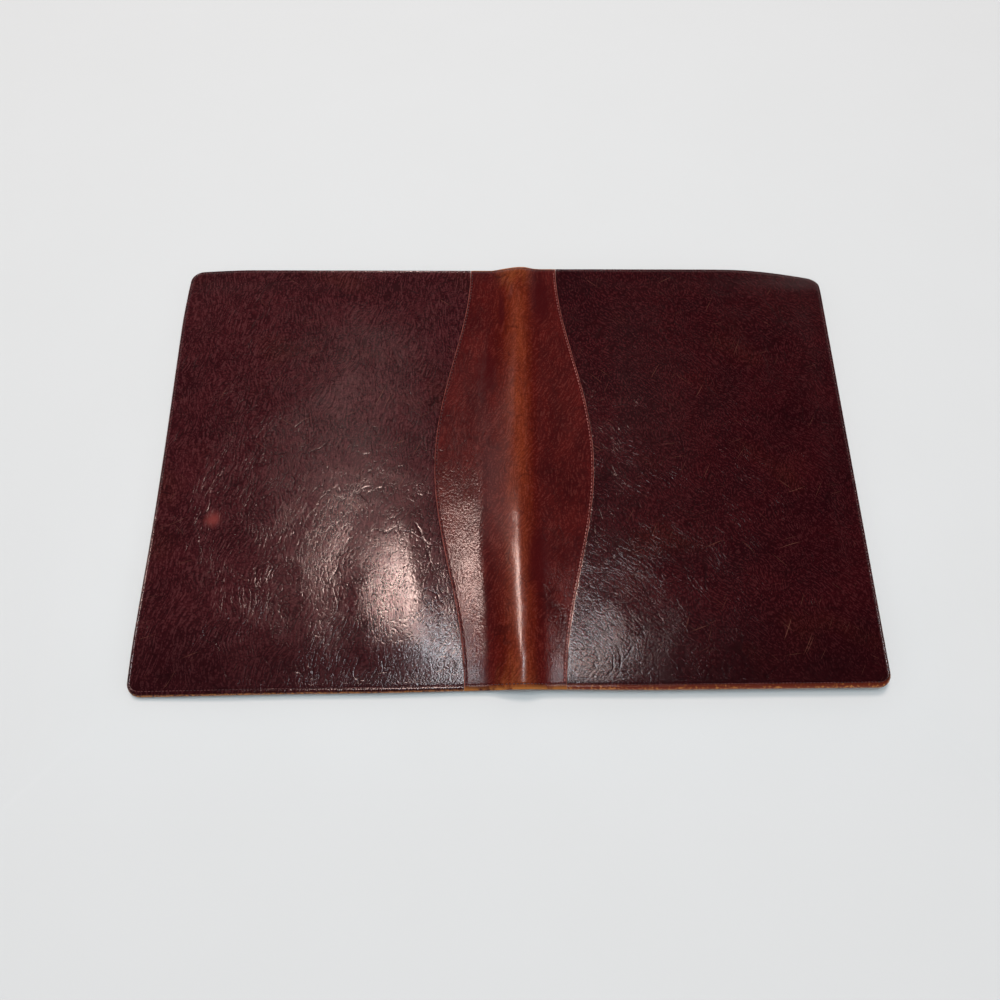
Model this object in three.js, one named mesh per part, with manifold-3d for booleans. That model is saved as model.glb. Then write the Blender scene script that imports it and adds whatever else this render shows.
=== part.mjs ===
// A leather padfolio for a letter pad, lying open on a table with its outside up.
// Millimetres, +Z up. X runs across the open covers, Y runs along the spine with the head
// of the pad at -Y. The origin lies on the table under the middle of the open folio.

import * as THREE from 'three';
import { mergeVertices } from 'three/addons/utils/BufferGeometryUtils.js';
import Module from 'manifold-3d';

const wasm = await Module();
wasm.setup();

// Writing pad, which the covers are sized around
const PAD_WIDTH = 216;
const PAD_LENGTH = 279.4;
const SHEETS_THICK = 1.7;
const BACKING_THICK = 0.7;
const BINDING_THICK = 0.5;
const PAD_SIDE_CLEARANCE = 0.6;
const PAD_TAIL_CLEARANCE = 11.1;
const PAD_FACE_CLEARANCE = 0.2;
const HEAD_MARGIN = 20;

// Leather, board and lining
const HIDE_THICK = 1.1;
const TURN_IN_THICK = 0.6;
const TURN_IN_WIDTH = 14;
const BOARD_THICK = 1.3;
const LINING_THICK = 0.6;
const POCKET_THICK = 0.7;
const DOCUMENT_WELT_THICK = 0.6;
const WELT_WIDTH = 5;
const LAYER_GAP = 0.1;
const SEAM_GAP = 0.3;

// Cover outline
const CORNER_RADIUS = 9;
const EDGE_ROLL = 1.1;
const LINING_INSET = 2.5;
const LINING_SETBACK = 1;
const BOARD_SETBACK = 2;

// Spine: two bend lines, an arched ridge between them and an ogee wing on each cover
const SPINE_WIDTH = 24;
const SPINE_THICK = 1.1;
const RIDGE_RISE = 4.4;
const BEND_GAP = 0.3;
const TURN_IN_SETBACK = 0.8;
const WING_END_REACH = 32.5;
const WING_MIDDLE_REACH = 55.8;
const LAP_WIDTH = 10;
const LAP_ROLL = 0.45;

// Pockets
const PAD_PANEL_DEPTH = 150;
const PAD_PANEL_SCOOP = 8;
const DOCUMENT_BARE_STRIP = 133;
const DOCUMENT_SCOOP = 12;
const CARD_POCKET_WIDTH = 104;
const CARD_POCKET_DEPTH = 64;
const CARD_POCKET_SCOOP = 5;
const CARD_POCKET_RADIUS = 5;
const CARD_HEM_WIDTH = 5;
const CARD_HEM_THICK = 0.5;

// Facets
const ROLL_STEPS = 3;
const CORNER_STEPS = 10;
const ARCH_STEPS = 20;
const OGEE_STEPS = 36;
const CUT_MARGIN = 5;

const BACK = 1;
const FRONT = -1;

// Heights of the layers over the table, from the lowest layer up
function layersAbove(liningBottom) {
  const turnInBottom = liningBottom + LINING_THICK + LAYER_GAP;
  const boardBottom = turnInBottom + TURN_IN_THICK + LAYER_GAP;
  const skinBottom = boardBottom + BOARD_THICK + LAYER_GAP;
  const lapBottom = skinBottom + HIDE_THICK + LAYER_GAP;
  return { liningBottom, turnInBottom, boardBottom, skinBottom, lapBottom };
}

const panelBottom = SHEETS_THICK + PAD_FACE_CLEARANCE;
const panelTop = panelBottom + POCKET_THICK;
const backingBottom = panelTop + PAD_FACE_CLEARANCE;
const backingTop = backingBottom + BACKING_THICK;
const backLevels = layersAbove(backingTop + PAD_FACE_CLEARANCE);

const documentWeltBottom = POCKET_THICK + LAYER_GAP;
const documentWeltTop = documentWeltBottom + DOCUMENT_WELT_THICK;
const frontLevels = layersAbove(documentWeltTop + LAYER_GAP);

// The spine leather bends at its underside, level with the top of the boards. The pad lifts
// the back cover, so the spine slopes from one bend line to the other.
const spineStep = backLevels.skinBottom - frontLevels.skinBottom;
const spineSlope = Math.asin(spineStep / SPINE_WIDTH);
const bendX = SPINE_WIDTH * Math.cos(spineSlope) / 2;
const archRadius = SPINE_WIDTH * SPINE_WIDTH / (8 * RIDGE_RISE) + RIDGE_RISE / 2;
const archCentreZ = RIDGE_RISE - archRadius;
const hemRadius = archRadius - TURN_IN_THICK;

// Cover outline, built around the pad in its pocket
const weltOuterX = bendX + LINING_SETBACK + 2 * (WELT_WIDTH + PAD_SIDE_CLEARANCE) + PAD_WIDTH;
const outerX = weltOuterX + LINING_INSET;
const coverLength = HEAD_MARGIN + PAD_LENGTH + PAD_TAIL_CLEARANCE + WELT_WIDTH + LINING_INSET;
const tailY = coverLength / 2;
const headY = -coverLength / 2;
const liningTailY = tailY - LINING_INSET;
const liningHeadY = headY + LINING_INSET;
const liningHingeX = bendX + LINING_SETBACK;

function solidOf(geometry) {
  const bare = geometry.clone();
  bare.deleteAttribute('normal');
  bare.deleteAttribute('uv');
  const merged = mergeVertices(bare);
  return new wasm.Manifold(new wasm.Mesh({
    numProp: 3,
    vertProperties: new Float32Array(merged.attributes.position.array),
    triVerts: new Uint32Array(merged.index.array),
  }));
}

function geometryOf(solid) {
  const mesh = solid.getMesh();
  const geometry = new THREE.BufferGeometry();
  geometry.setAttribute('position', new THREE.BufferAttribute(mesh.vertProperties, 3));
  geometry.setIndex(new THREE.BufferAttribute(mesh.triVerts, 1));
  geometry.computeVertexNormals();
  return geometry;
}

// A flat sheet of the given outline between two heights, with its edges rolled if asked
function sheet(outline, bottom, top, roll = 0) {
  const geometry = new THREE.ExtrudeGeometry(outline, {
    depth: top - bottom - 2 * roll,
    curveSegments: CORNER_STEPS,
    bevelEnabled: roll > 0,
    bevelThickness: roll,
    bevelSize: roll,
    bevelOffset: -roll,
    bevelSegments: ROLL_STEPS,
  });
  geometry.translate(0, 0, bottom + roll);
  return geometry;
}

function block(minX, maxX, minY, maxY, bottom, top) {
  const geometry = new THREE.BoxGeometry(maxX - minX, maxY - minY, top - bottom);
  geometry.translate((minX + maxX) / 2, (minY + maxY) / 2, (bottom + top) / 2);
  return geometry;
}

// A box given by its distances from the spine's middle, on the back or the front side
function sideBlock(side, nearX, farX, minY, maxY, bottom, top) {
  const reach = [side * nearX, side * farX];
  return block(Math.min(...reach), Math.max(...reach), minY, maxY, bottom, top);
}

// Outline of one cover, drawn in from its three outer edges by the inset. The edge at the
// spine is straight, and the two outer corners are round.
function coverOutline(side, inset, hingeX) {
  const radius = Math.max(CORNER_RADIUS - inset, LAYER_GAP);
  const edgeX = outerX - inset;
  const tail = tailY - inset;
  const head = headY + inset;
  const outline = new THREE.Shape();
  outline.moveTo(side * hingeX, head);
  outline.lineTo(side * (edgeX - radius), head);
  outline.absarc(
    side * (edgeX - radius), head + radius, radius,
    -Math.PI / 2, side > 0 ? 0 : -Math.PI, side < 0);
  outline.lineTo(side * edgeX, tail - radius);
  outline.absarc(
    side * (edgeX - radius), tail - radius, radius,
    side > 0 ? 0 : Math.PI, Math.PI / 2, side < 0);
  outline.lineTo(side * hingeX, tail);
  outline.closePath();
  return outline;
}

// Skin of one cover: leather over the board, with its edge rolled round three sides of the
// board and turned in below it. The turn-in stops short of the bend line.
function turnedSkin(side, levels, thickness) {
  const { turnInBottom, boardBottom, skinBottom } = levels;
  const skinTop = skinBottom + thickness;
  const hingeX = bendX + BEND_GAP;
  const beyondHinge = hingeX - CUT_MARGIN;
  const pastHinge = beyondHinge - CUT_MARGIN;
  const body = solidOf(sheet(
    coverOutline(side, 0, beyondHinge), turnInBottom, skinTop, EDGE_ROLL));
  const boardRoom = solidOf(sheet(
    coverOutline(side, thickness, pastHinge), boardBottom - LAYER_GAP, skinBottom));
  const liningWindow = solidOf(sheet(
    coverOutline(side, TURN_IN_WIDTH, pastHinge), turnInBottom - CUT_MARGIN, boardBottom));
  const hingeCut = (farX, top) => solidOf(sideBlock(
    side, pastHinge, farX, headY - CUT_MARGIN, tailY + CUT_MARGIN,
    turnInBottom - CUT_MARGIN, top));
  return body.subtract(boardRoom).subtract(liningWindow)
    .subtract(hingeCut(hingeX, skinTop + CUT_MARGIN))
    .subtract(hingeCut(bendX + TURN_IN_SETBACK, skinBottom));
}

function coverBoard(side, levels) {
  const inset = Math.max(HIDE_THICK, SPINE_THICK) + SEAM_GAP;
  const outline = coverOutline(side, inset, bendX + BOARD_SETBACK);
  return sheet(outline, levels.boardBottom, levels.boardBottom + BOARD_THICK);
}

function coverLining(side, levels) {
  const outline = coverOutline(side, LINING_INSET, liningHingeX);
  return sheet(outline, levels.liningBottom, levels.liningBottom + LINING_THICK);
}

// Reach of the spine leather from the spine's middle: an ogee from each end to half height
function wingReach(y) {
  const swell = (1 + Math.cos(2 * Math.PI * y / coverLength)) / 2;
  return WING_END_REACH + (WING_MIDDLE_REACH - WING_END_REACH) * swell;
}

// Everything between the spine's middle and the ogee seam, drawn back from it if asked
function insideSeam(side, drawnBack, bottom, top, roll = 0) {
  const outline = new THREE.Shape();
  outline.moveTo(0, headY);
  for (let step = 0; step <= OGEE_STEPS; step += 1) {
    const y = headY + coverLength * step / OGEE_STEPS;
    outline.lineTo(side * (wingReach(y) - drawnBack), y);
  }
  outline.lineTo(0, tailY);
  outline.closePath();
  return solidOf(sheet(outline, bottom, top, roll));
}

// Hide of one cover, which runs under the spine leather by the width of the lap
function coverHide(side, levels) {
  const low = levels.turnInBottom - CUT_MARGIN;
  const high = levels.lapBottom + CUT_MARGIN;
  const spineRoom = insideSeam(side, LAP_WIDTH, low, high);
  return geometryOf(turnedSkin(side, levels, HIDE_THICK).subtract(spineRoom));
}

// Spine leather on one cover: turned over the board's ends like the hide, it steps up at the
// hide's edge and laps over it as far as the ogee seam
function spineWing(side, levels) {
  const low = levels.turnInBottom - CUT_MARGIN;
  const lapTop = levels.lapBottom + SPINE_THICK;
  const stepEnd = LAP_WIDTH + SEAM_GAP;
  const stepStart = stepEnd + SPINE_THICK;
  const nearBend = insideSeam(side, stepEnd, low, lapTop + CUT_MARGIN);
  const beforeStep = insideSeam(side, stepStart, low, lapTop + CUT_MARGIN);
  const flat = turnedSkin(side, levels, SPINE_THICK).intersect(nearBend);
  const step = insideSeam(side, stepEnd, levels.skinBottom, lapTop - LAP_ROLL);
  const lap = insideSeam(side, 0, levels.lapBottom, lapTop, LAP_ROLL);
  return geometryOf(flat.add(step.add(lap).subtract(beforeStep)));
}

// A band that arches over the line between the bend lines, in a frame whose X is that line
// and whose origin is its middle. The two arcs share one centre.
function archBand(halfWidth, innerRadius, outerRadius, minY, maxY) {
  const point = (radius, step) => {
    const x = halfWidth * (2 * step / ARCH_STEPS - 1);
    return new THREE.Vector2(x, archCentreZ + Math.sqrt(radius * radius - x * x));
  };
  const steps = Array.from({ length: ARCH_STEPS + 1 }, (_, step) => step);
  const under = steps.map((step) => point(innerRadius, step));
  const over = steps.map((step) => point(outerRadius, step));
  const outline = new THREE.Shape([...under, ...over.reverse()]);
  const geometry = new THREE.ExtrudeGeometry(outline, {
    depth: maxY - minY,
    bevelEnabled: false,
  });
  geometry.rotateX(Math.PI / 2);
  geometry.translate(0, maxY, 0);
  return geometry;
}

// Half width of an arch of the given radius where it meets the line between the bend lines
function archReach(radius) {
  return Math.sqrt(radius * radius - archCentreZ * archCentreZ);
}

// The ridge is hollow. Its leather is turned under at head and tail.
function spineRidge() {
  const halfWidth = SPINE_WIDTH / 2 - BEND_GAP;
  const outerRadius = archRadius + SPINE_THICK;
  const hemHalfWidth = archReach(hemRadius) - BEND_GAP;
  const hem = (minY, maxY) => solidOf(archBand(
    hemHalfWidth, hemRadius, archRadius + SPINE_THICK / 2, minY, maxY));
  const leather = solidOf(archBand(halfWidth, archRadius, outerRadius, headY, tailY));
  const headHem = hem(headY, headY + TURN_IN_WIDTH);
  const tailHem = hem(tailY - TURN_IN_WIDTH, tailY);
  return geometryOf(leather.add(headHem).add(tailHem));
}

function spineLining() {
  const outerRadius = hemRadius - SEAM_GAP;
  const innerRadius = outerRadius - LINING_THICK;
  return archBand(
    archReach(innerRadius) - BEND_GAP, innerRadius, outerRadius, liningHeadY, liningTailY);
}

// A panel sewn over the lining along the spine, the outer edge and the tail, open at the
// head side with a shallow scoop in its edge
function scoopedPanel(side, openY, scoop, bottom) {
  const full = solidOf(sheet(
    coverOutline(side, LINING_INSET, liningHingeX), bottom, bottom + POCKET_THICK));
  const middleX = side * (liningHingeX + weltOuterX) / 2;
  const halfWidth = (weltOuterX - liningHingeX) / 2;
  const beyond = halfWidth + CUT_MARGIN;
  const mouth = new THREE.Shape();
  mouth.moveTo(middleX - beyond, headY - CUT_MARGIN);
  mouth.lineTo(middleX + beyond, headY - CUT_MARGIN);
  mouth.lineTo(middleX + beyond, openY);
  mouth.lineTo(middleX + halfWidth, openY);
  mouth.quadraticCurveTo(middleX, openY + 2 * scoop, middleX - halfWidth, openY);
  mouth.lineTo(middleX - beyond, openY);
  mouth.closePath();
  const cut = sheet(mouth, bottom - CUT_MARGIN, bottom + POCKET_THICK + CUT_MARGIN);
  return geometryOf(full.subtract(solidOf(cut)));
}

// The three strips sewn between a panel and the lining, which leave the pocket's room
function welts(side, openY, bottom, top) {
  const frame = solidOf(sheet(coverOutline(side, LINING_INSET, liningHingeX), bottom, top));
  const tailStart = liningTailY - WELT_WIDTH;
  const low = bottom - CUT_MARGIN;
  const high = top + CUT_MARGIN;
  const strip = (nearX, farX, minY, maxY) =>
    geometryOf(frame.intersect(solidOf(sideBlock(side, nearX, farX, minY, maxY, low, high))));
  const spineEnd = liningHingeX + WELT_WIDTH;
  const outerStart = weltOuterX - WELT_WIDTH;
  return {
    spine: strip(liningHingeX - CUT_MARGIN, spineEnd, openY, tailStart - SEAM_GAP),
    outer: strip(outerStart, weltOuterX + CUT_MARGIN, openY, tailStart - SEAM_GAP),
    tail: strip(liningHingeX - CUT_MARGIN, weltOuterX + CUT_MARGIN, tailStart, tailY),
  };
}

// Card pocket: a small panel with three turned hems that hold it off the lining
function cardPocket(side, middleY, top) {
  const middleX = side * (liningHingeX + weltOuterX) / 2;
  const halfWidth = CARD_POCKET_WIDTH / 2;
  const bottom = top - CARD_HEM_THICK - POCKET_THICK;
  const open = middleY - CARD_POCKET_DEPTH / 2;
  const closed = middleY + CARD_POCKET_DEPTH / 2;
  const outline = new THREE.Shape();
  outline.moveTo(middleX - halfWidth, open);
  outline.quadraticCurveTo(middleX, open + 2 * CARD_POCKET_SCOOP, middleX + halfWidth, open);
  outline.lineTo(middleX + halfWidth, closed - CARD_POCKET_RADIUS);
  outline.absarc(middleX + halfWidth - CARD_POCKET_RADIUS, closed - CARD_POCKET_RADIUS,
    CARD_POCKET_RADIUS, 0, Math.PI / 2);
  outline.lineTo(middleX - halfWidth + CARD_POCKET_RADIUS, closed);
  outline.absarc(middleX - halfWidth + CARD_POCKET_RADIUS, closed - CARD_POCKET_RADIUS,
    CARD_POCKET_RADIUS, Math.PI / 2, Math.PI);
  outline.closePath();
  const cardRoom = block(
    middleX - halfWidth + CARD_HEM_WIDTH, middleX + halfWidth - CARD_HEM_WIDTH,
    open - CUT_MARGIN, closed - CARD_HEM_WIDTH, top - CARD_HEM_THICK, top + CUT_MARGIN);
  return geometryOf(solidOf(sheet(outline, bottom, top)).subtract(solidOf(cardRoom)));
}

const FINISHES = {
  coverHide: { color: 0x3d171b, roughness: 0.42, metalness: 0 },
  spineHide: { color: 0x60221b, roughness: 0.45, metalness: 0 },
  lining: { color: 0x35181a, roughness: 0.75, metalness: 0 },
  pocketHide: { color: 0x44191a, roughness: 0.55, metalness: 0 },
  board: { color: 0x8a7f70, roughness: 0.9, metalness: 0 },
  backing: { color: 0x9a8466, roughness: 0.9, metalness: 0 },
  paper: { color: 0xf0ecdc, roughness: 0.85, metalness: 0 },
  binding: { color: 0x4a2420, roughness: 0.7, metalness: 0 },
};

function piece(name, geometry, finish) {
  const mesh = new THREE.Mesh(geometry, new THREE.MeshStandardMaterial(finish));
  mesh.name = name;
  return mesh;
}

const padHeadY = headY + HEAD_MARGIN;
const padTailY = padHeadY + PAD_LENGTH;
const padNearX = liningHingeX + WELT_WIDTH + PAD_SIDE_CLEARANCE;
const padFarX = padNearX + PAD_WIDTH;

const backCover = new THREE.Group();
const padPanelOpenY = liningTailY - PAD_PANEL_DEPTH;
const padWelts = welts(
  BACK, padPanelOpenY, panelTop + LAYER_GAP, backLevels.liningBottom - LAYER_GAP);
backCover.add(
  piece('back_cover_hide', coverHide(BACK, backLevels), FINISHES.coverHide),
  piece('back_cover_board', coverBoard(BACK, backLevels), FINISHES.board),
  piece('back_cover_lining', coverLining(BACK, backLevels), FINISHES.lining),
  piece('back_spine_wing', spineWing(BACK, backLevels), FINISHES.spineHide),
  piece('pad_panel', scoopedPanel(BACK, padPanelOpenY, PAD_PANEL_SCOOP, panelBottom),
    FINISHES.pocketHide),
  piece('pad_welt_spine', padWelts.spine, FINISHES.pocketHide),
  piece('pad_welt_outer', padWelts.outer, FINISHES.pocketHide),
  piece('pad_welt_tail', padWelts.tail, FINISHES.pocketHide));

const frontCover = new THREE.Group();
const documentOpenY = liningHeadY + DOCUMENT_BARE_STRIP;
const documentWelts = welts(FRONT, documentOpenY, documentWeltBottom, documentWeltTop);
frontCover.add(
  piece('front_cover_hide', coverHide(FRONT, frontLevels), FINISHES.coverHide),
  piece('front_cover_board', coverBoard(FRONT, frontLevels), FINISHES.board),
  piece('front_cover_lining', coverLining(FRONT, frontLevels), FINISHES.lining),
  piece('front_spine_wing', spineWing(FRONT, frontLevels), FINISHES.spineHide),
  piece('document_pocket', scoopedPanel(FRONT, documentOpenY, DOCUMENT_SCOOP, 0),
    FINISHES.pocketHide),
  piece('document_welt_spine', documentWelts.spine, FINISHES.pocketHide),
  piece('document_welt_outer', documentWelts.outer, FINISHES.pocketHide),
  piece('document_welt_tail', documentWelts.tail, FINISHES.pocketHide),
  piece('card_pocket',
    cardPocket(FRONT, (liningHeadY + documentOpenY) / 2, frontLevels.liningBottom - LAYER_GAP),
    FINISHES.pocketHide));

const spine = new THREE.Group();
spine.position.z = (backLevels.skinBottom + frontLevels.skinBottom) / 2;
spine.rotation.y = -spineSlope;
spine.add(
  piece('spine_ridge', spineRidge(), FINISHES.spineHide),
  piece('spine_lining', spineLining(), FINISHES.lining));

const pad = new THREE.Group();
const bindingTailY = padHeadY - LAYER_GAP;
pad.add(
  piece('pad_backing',
    block(padNearX, padFarX, padHeadY, padTailY, backingBottom, backingTop),
    FINISHES.backing),
  piece('pad_sheets', block(padNearX, padFarX, padHeadY, padTailY, 0, SHEETS_THICK),
    FINISHES.paper),
  piece('pad_head_binding',
    block(padNearX, padFarX, bindingTailY - BINDING_THICK, bindingTailY, 0, backingTop),
    FINISHES.binding));

const padfolio = new THREE.Group();
padfolio.add(backCover, frontCover, spine, pad);

export default padfolio;
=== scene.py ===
"""Looks of a worn leather padfolio that lies open on a table with its outside up."""

import logging
import math
from dataclasses import dataclass, field
from enum import Enum

import bmesh
import bpy
import numpy as np
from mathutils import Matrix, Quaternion, Vector, noise


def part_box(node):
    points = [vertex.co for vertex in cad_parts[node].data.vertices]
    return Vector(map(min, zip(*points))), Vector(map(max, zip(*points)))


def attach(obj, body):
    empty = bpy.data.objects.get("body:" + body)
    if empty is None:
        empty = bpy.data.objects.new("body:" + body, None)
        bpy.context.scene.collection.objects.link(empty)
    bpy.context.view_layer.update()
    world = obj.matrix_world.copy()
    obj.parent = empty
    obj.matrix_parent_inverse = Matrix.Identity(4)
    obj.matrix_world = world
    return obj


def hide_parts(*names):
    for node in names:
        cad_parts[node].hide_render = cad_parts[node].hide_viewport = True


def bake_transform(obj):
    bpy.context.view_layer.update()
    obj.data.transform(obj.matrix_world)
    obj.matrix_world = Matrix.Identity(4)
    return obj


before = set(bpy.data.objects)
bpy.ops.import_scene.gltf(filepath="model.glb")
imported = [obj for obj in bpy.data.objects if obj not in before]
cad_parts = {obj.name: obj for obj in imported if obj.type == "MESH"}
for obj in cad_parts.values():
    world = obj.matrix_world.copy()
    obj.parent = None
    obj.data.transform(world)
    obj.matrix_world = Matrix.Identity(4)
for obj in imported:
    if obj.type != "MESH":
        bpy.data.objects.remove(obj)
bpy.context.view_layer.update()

LOG = logging.getLogger("padfolio")
MM = 0.001
# Distance that stands for nowhere near an edge or a seam
FAR = 99.0
# Half the open folio's width and half its height, in millimetres
HALF_WIDTH = 242.649
HALF_LENGTH = 159.0
# How far a hide's outside lies over its board: the leather and the glue under it
HIDE_OVER_BOARD = 1.2
# Distance between the rows of points along the leather
ROW_STEP = 2.5
# Distances from the spine's middle between which the ridge's depth becomes the covers'
RIDGE_SIDE = (9.0, 14.0)
# Corners of each side of a flat box
BOX_FACES = ((3, 2, 1, 0), (4, 5, 6, 7), (0, 1, 5, 4), (1, 2, 6, 5), (2, 3, 7, 6), (3, 0, 4, 7))
# Tint of the shine on glazed leather
GLAZE_TINT = (1.0, 0.74, 0.68, 1.0)

Points = np.ndarray
Colour = tuple[float, float, float, float]


# ---------------------------------------------------------------- small tools


def srgb(red: int, green: int, blue: int) -> Colour:
    """Colour written as it shows on a screen, 0 to 255, as linear light."""
    def linear(value: float) -> float:
        """One channel from screen value to linear light."""
        return value / 12.92 if value <= 0.04045 else ((value + 0.055) / 1.055) ** 2.4
    return (linear(red / 255), linear(green / 255), linear(blue / 255), 1.0)


def ramp(values: Points, low: float, high: float) -> Points:
    """Straight step of the values from 0 at low to 1 at high."""
    return np.clip((values - low) / (high - low), 0.0, 1.0)


def smooth(values: Points, low: float, high: float) -> Points:
    """Smooth step of the values from 0 at low to 1 at high."""
    share = ramp(values, low, high)
    return share * share * (3.0 - 2.0 * share)


def joined(*parts: Points | float) -> Points:
    """Rows of places from their numbers, each an array or one value for all."""
    return np.stack(np.broadcast_arrays(*parts), axis=-1)


def swell(x: Points, y: Points, wave: float, seed: float) -> Points:
    """Noise over the flat leather.

    Args:
        x: Places across the spine, in millimetres.
        y: Places along the spine, in millimetres.
        wave: Length of a wave, in millimetres.
        seed: Which noise is taken.

    Returns:
        Values from about -1 to 1, in the shape of x.
    """
    flat = [noise.noise(Vector((a / wave, b / wave, seed))) for a, b in zip(x.flat, y.flat)]
    return np.array(flat).reshape(x.shape)


def lumps(x: Points, y: Points, waves: tuple[tuple[float, float, float], ...]) -> Points:
    """Sum of several noises over the leather, each a height, a wave and a seed."""
    return sum(height * swell(x, y, wave, seed) for height, wave, seed in waves)


class Side(Enum):
    """The two covers: the front cover lies left of the spine and the back cover right."""

    FRONT = -1
    BACK = 1

    @property
    def label(self) -> str:
        """The first word of this side's names."""
        return self.name.lower()

    @property
    def top(self) -> float:
        """Height of this cover's outside, in millimetres."""
        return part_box(f"{self.label}_cover_board")[1].z / MM + HIDE_OVER_BOARD


class Layer(Enum):
    """How far a layer follows the sideways shift of the spine."""

    SKIN = "skin"
    LINING = "lining"
    INSIDE = "inside"


# ---------------------------------------------------------------- shader tools


class Val:
    """An output socket of a node tree, with Python's arithmetic on it."""

    def __init__(self, tree: "Nodes", socket: bpy.types.NodeSocket) -> None:
        """Wraps one socket of the given tree."""
        self.tree = tree
        self.socket = socket

    def __add__(self, other: "Term") -> "Val":
        """Sum."""
        return self.tree.math("ADD", self, other)

    def __radd__(self, other: "Term") -> "Val":
        """Sum, the other way round."""
        return self.tree.math("ADD", other, self)

    def __sub__(self, other: "Term") -> "Val":
        """Difference."""
        return self.tree.math("SUBTRACT", self, other)

    def __rsub__(self, other: "Term") -> "Val":
        """Difference, the other way round."""
        return self.tree.math("SUBTRACT", other, self)

    def __mul__(self, other: "Term") -> "Val":
        """Product."""
        return self.tree.math("MULTIPLY", self, other)

    def __rmul__(self, other: "Term") -> "Val":
        """Product, the other way round."""
        return self.tree.math("MULTIPLY", other, self)

    def __truediv__(self, other: "Term") -> "Val":
        """Quotient."""
        return self.tree.math("DIVIDE", self, other)

    def __rtruediv__(self, other: "Term") -> "Val":
        """Quotient, the other way round."""
        return self.tree.math("DIVIDE", other, self)

    def __neg__(self) -> "Val":
        """The value with its sign changed."""
        return self.tree.math("MULTIPLY", self, -1.0)

    def __abs__(self) -> "Val":
        """The value without its sign."""
        return self.tree.math("ABSOLUTE", self, 0.0)

    def most(self, other: "Term") -> "Val":
        """The larger of two values."""
        return self.tree.math("MAXIMUM", self, other)

    def step(self, low: float, high: float) -> "Val":
        """Smooth step from 0 at low to 1 at high."""
        made = self.tree.node(
            "ShaderNodeMapRange", {"interpolation_type": "SMOOTHSTEP"},
            {"Value": self, "From Min": low, "From Max": high})
        return Val(self.tree, made.outputs["Result"])


Term = Val | float


class Nodes:
    """A node tree that is filled through one method."""

    def __init__(self, tree: bpy.types.NodeTree) -> None:
        """Empties the tree that it will fill."""
        self.tree = tree
        tree.nodes.clear()

    def node(self, kind: str, settings: dict | None = None,
             inputs: dict | None = None) -> bpy.types.Node:
        """Adds a node.

        Args:
            kind: Blender's name of the node type.
            settings: The node's own properties, which are set first.
            inputs: Values or links by socket name or number.

        Returns:
            The new node.
        """
        made = self.tree.nodes.new(kind)
        for key, value in (settings or {}).items():
            setattr(made, key, value)
        for key, value in (inputs or {}).items():
            if isinstance(value, Val):
                self.tree.links.new(value.socket, made.inputs[key])
            else:
                made.inputs[key].default_value = value
        return made

    def math(self, operation: str, first: Term, second: Term) -> Val:
        """Adds a Math node and gives its result."""
        made = self.node("ShaderNodeMath", {"operation": operation}, {0: first, 1: second})
        return Val(self, made.outputs[0])

    def attribute(self, name: str, output: str = "Fac") -> Val:
        """Reads a value that the mesh carries."""
        made = self.node("ShaderNodeAttribute", {"attribute_name": name})
        return Val(self, made.outputs[output])

    def along(self, place: Val, turn: float, length: float, width: float) -> Val:
        """Stretches a place for a texture.

        Args:
            place: The place, in millimetres.
            turn: Direction of the texture's long side, in degrees from X.
            length: What becomes one unit along that direction.
            width: What becomes one unit across it.

        Returns:
            The stretched place.
        """
        made = self.node(
            "ShaderNodeMapping", {"vector_type": "TEXTURE"},
            {"Vector": place, "Rotation": (0.0, 0.0, math.radians(turn)),
             "Scale": (length, width, 1.0)})
        return Val(self, made.outputs[0])

    def noise(self, place: Val, detail: float = 2.0, rough: float = 0.5,
              output: str = "Fac") -> Val:
        """Noise of about one unit's size, from 0 to 1."""
        made = self.node(
            "ShaderNodeTexNoise", None,
            {"Vector": place, "Scale": 1.0, "Detail": detail, "Roughness": rough})
        return Val(self, made.outputs[output])

    def cells(self, place: Val, feature: str) -> Val:
        """Distance in a pattern of cells of one unit's size."""
        made = self.node("ShaderNodeTexVoronoi", {"feature": feature},
                         {"Vector": place, "Scale": 1.0})
        return Val(self, made.outputs["Distance"])

    def warp(self, place: Val, wave: float, reach: float) -> Val:
        """Pushes a place about by noise of the given wave and reach, in millimetres."""
        push = self.noise(self.along(place, 0.0, wave, wave), 1.0, 0.5, "Color")
        made = self.node("ShaderNodeVectorMath", {"operation": "MULTIPLY_ADD"},
                         {0: push, 1: (reach, reach, 0.0), 2: place})
        return Val(self, made.outputs[0])

    def spot(self, place: Val, x: float, y: float) -> Val:
        """Distance from a point of the flat leather, in millimetres."""
        made = self.node("ShaderNodeVectorMath", {"operation": "DISTANCE"},
                         {0: place, 1: (x, y, 0.0)})
        return Val(self, made.outputs["Value"])

    def parts(self, place: Val) -> tuple[Val, Val, Val]:
        """The three numbers of a place."""
        made = self.node("ShaderNodeSeparateXYZ", None, {0: place})
        return tuple(Val(self, made.outputs[i]) for i in range(3))

    def tint(self, share: Term, first: "Val | Colour", second: "Val | Colour") -> Val:
        """Mixes two colours, the first at share 0 and the second at 1."""
        made = self.node("ShaderNodeMix", {"data_type": "RGBA"},
                         {0: share, 6: first, 7: second})
        return Val(self, made.outputs[2])


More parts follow.
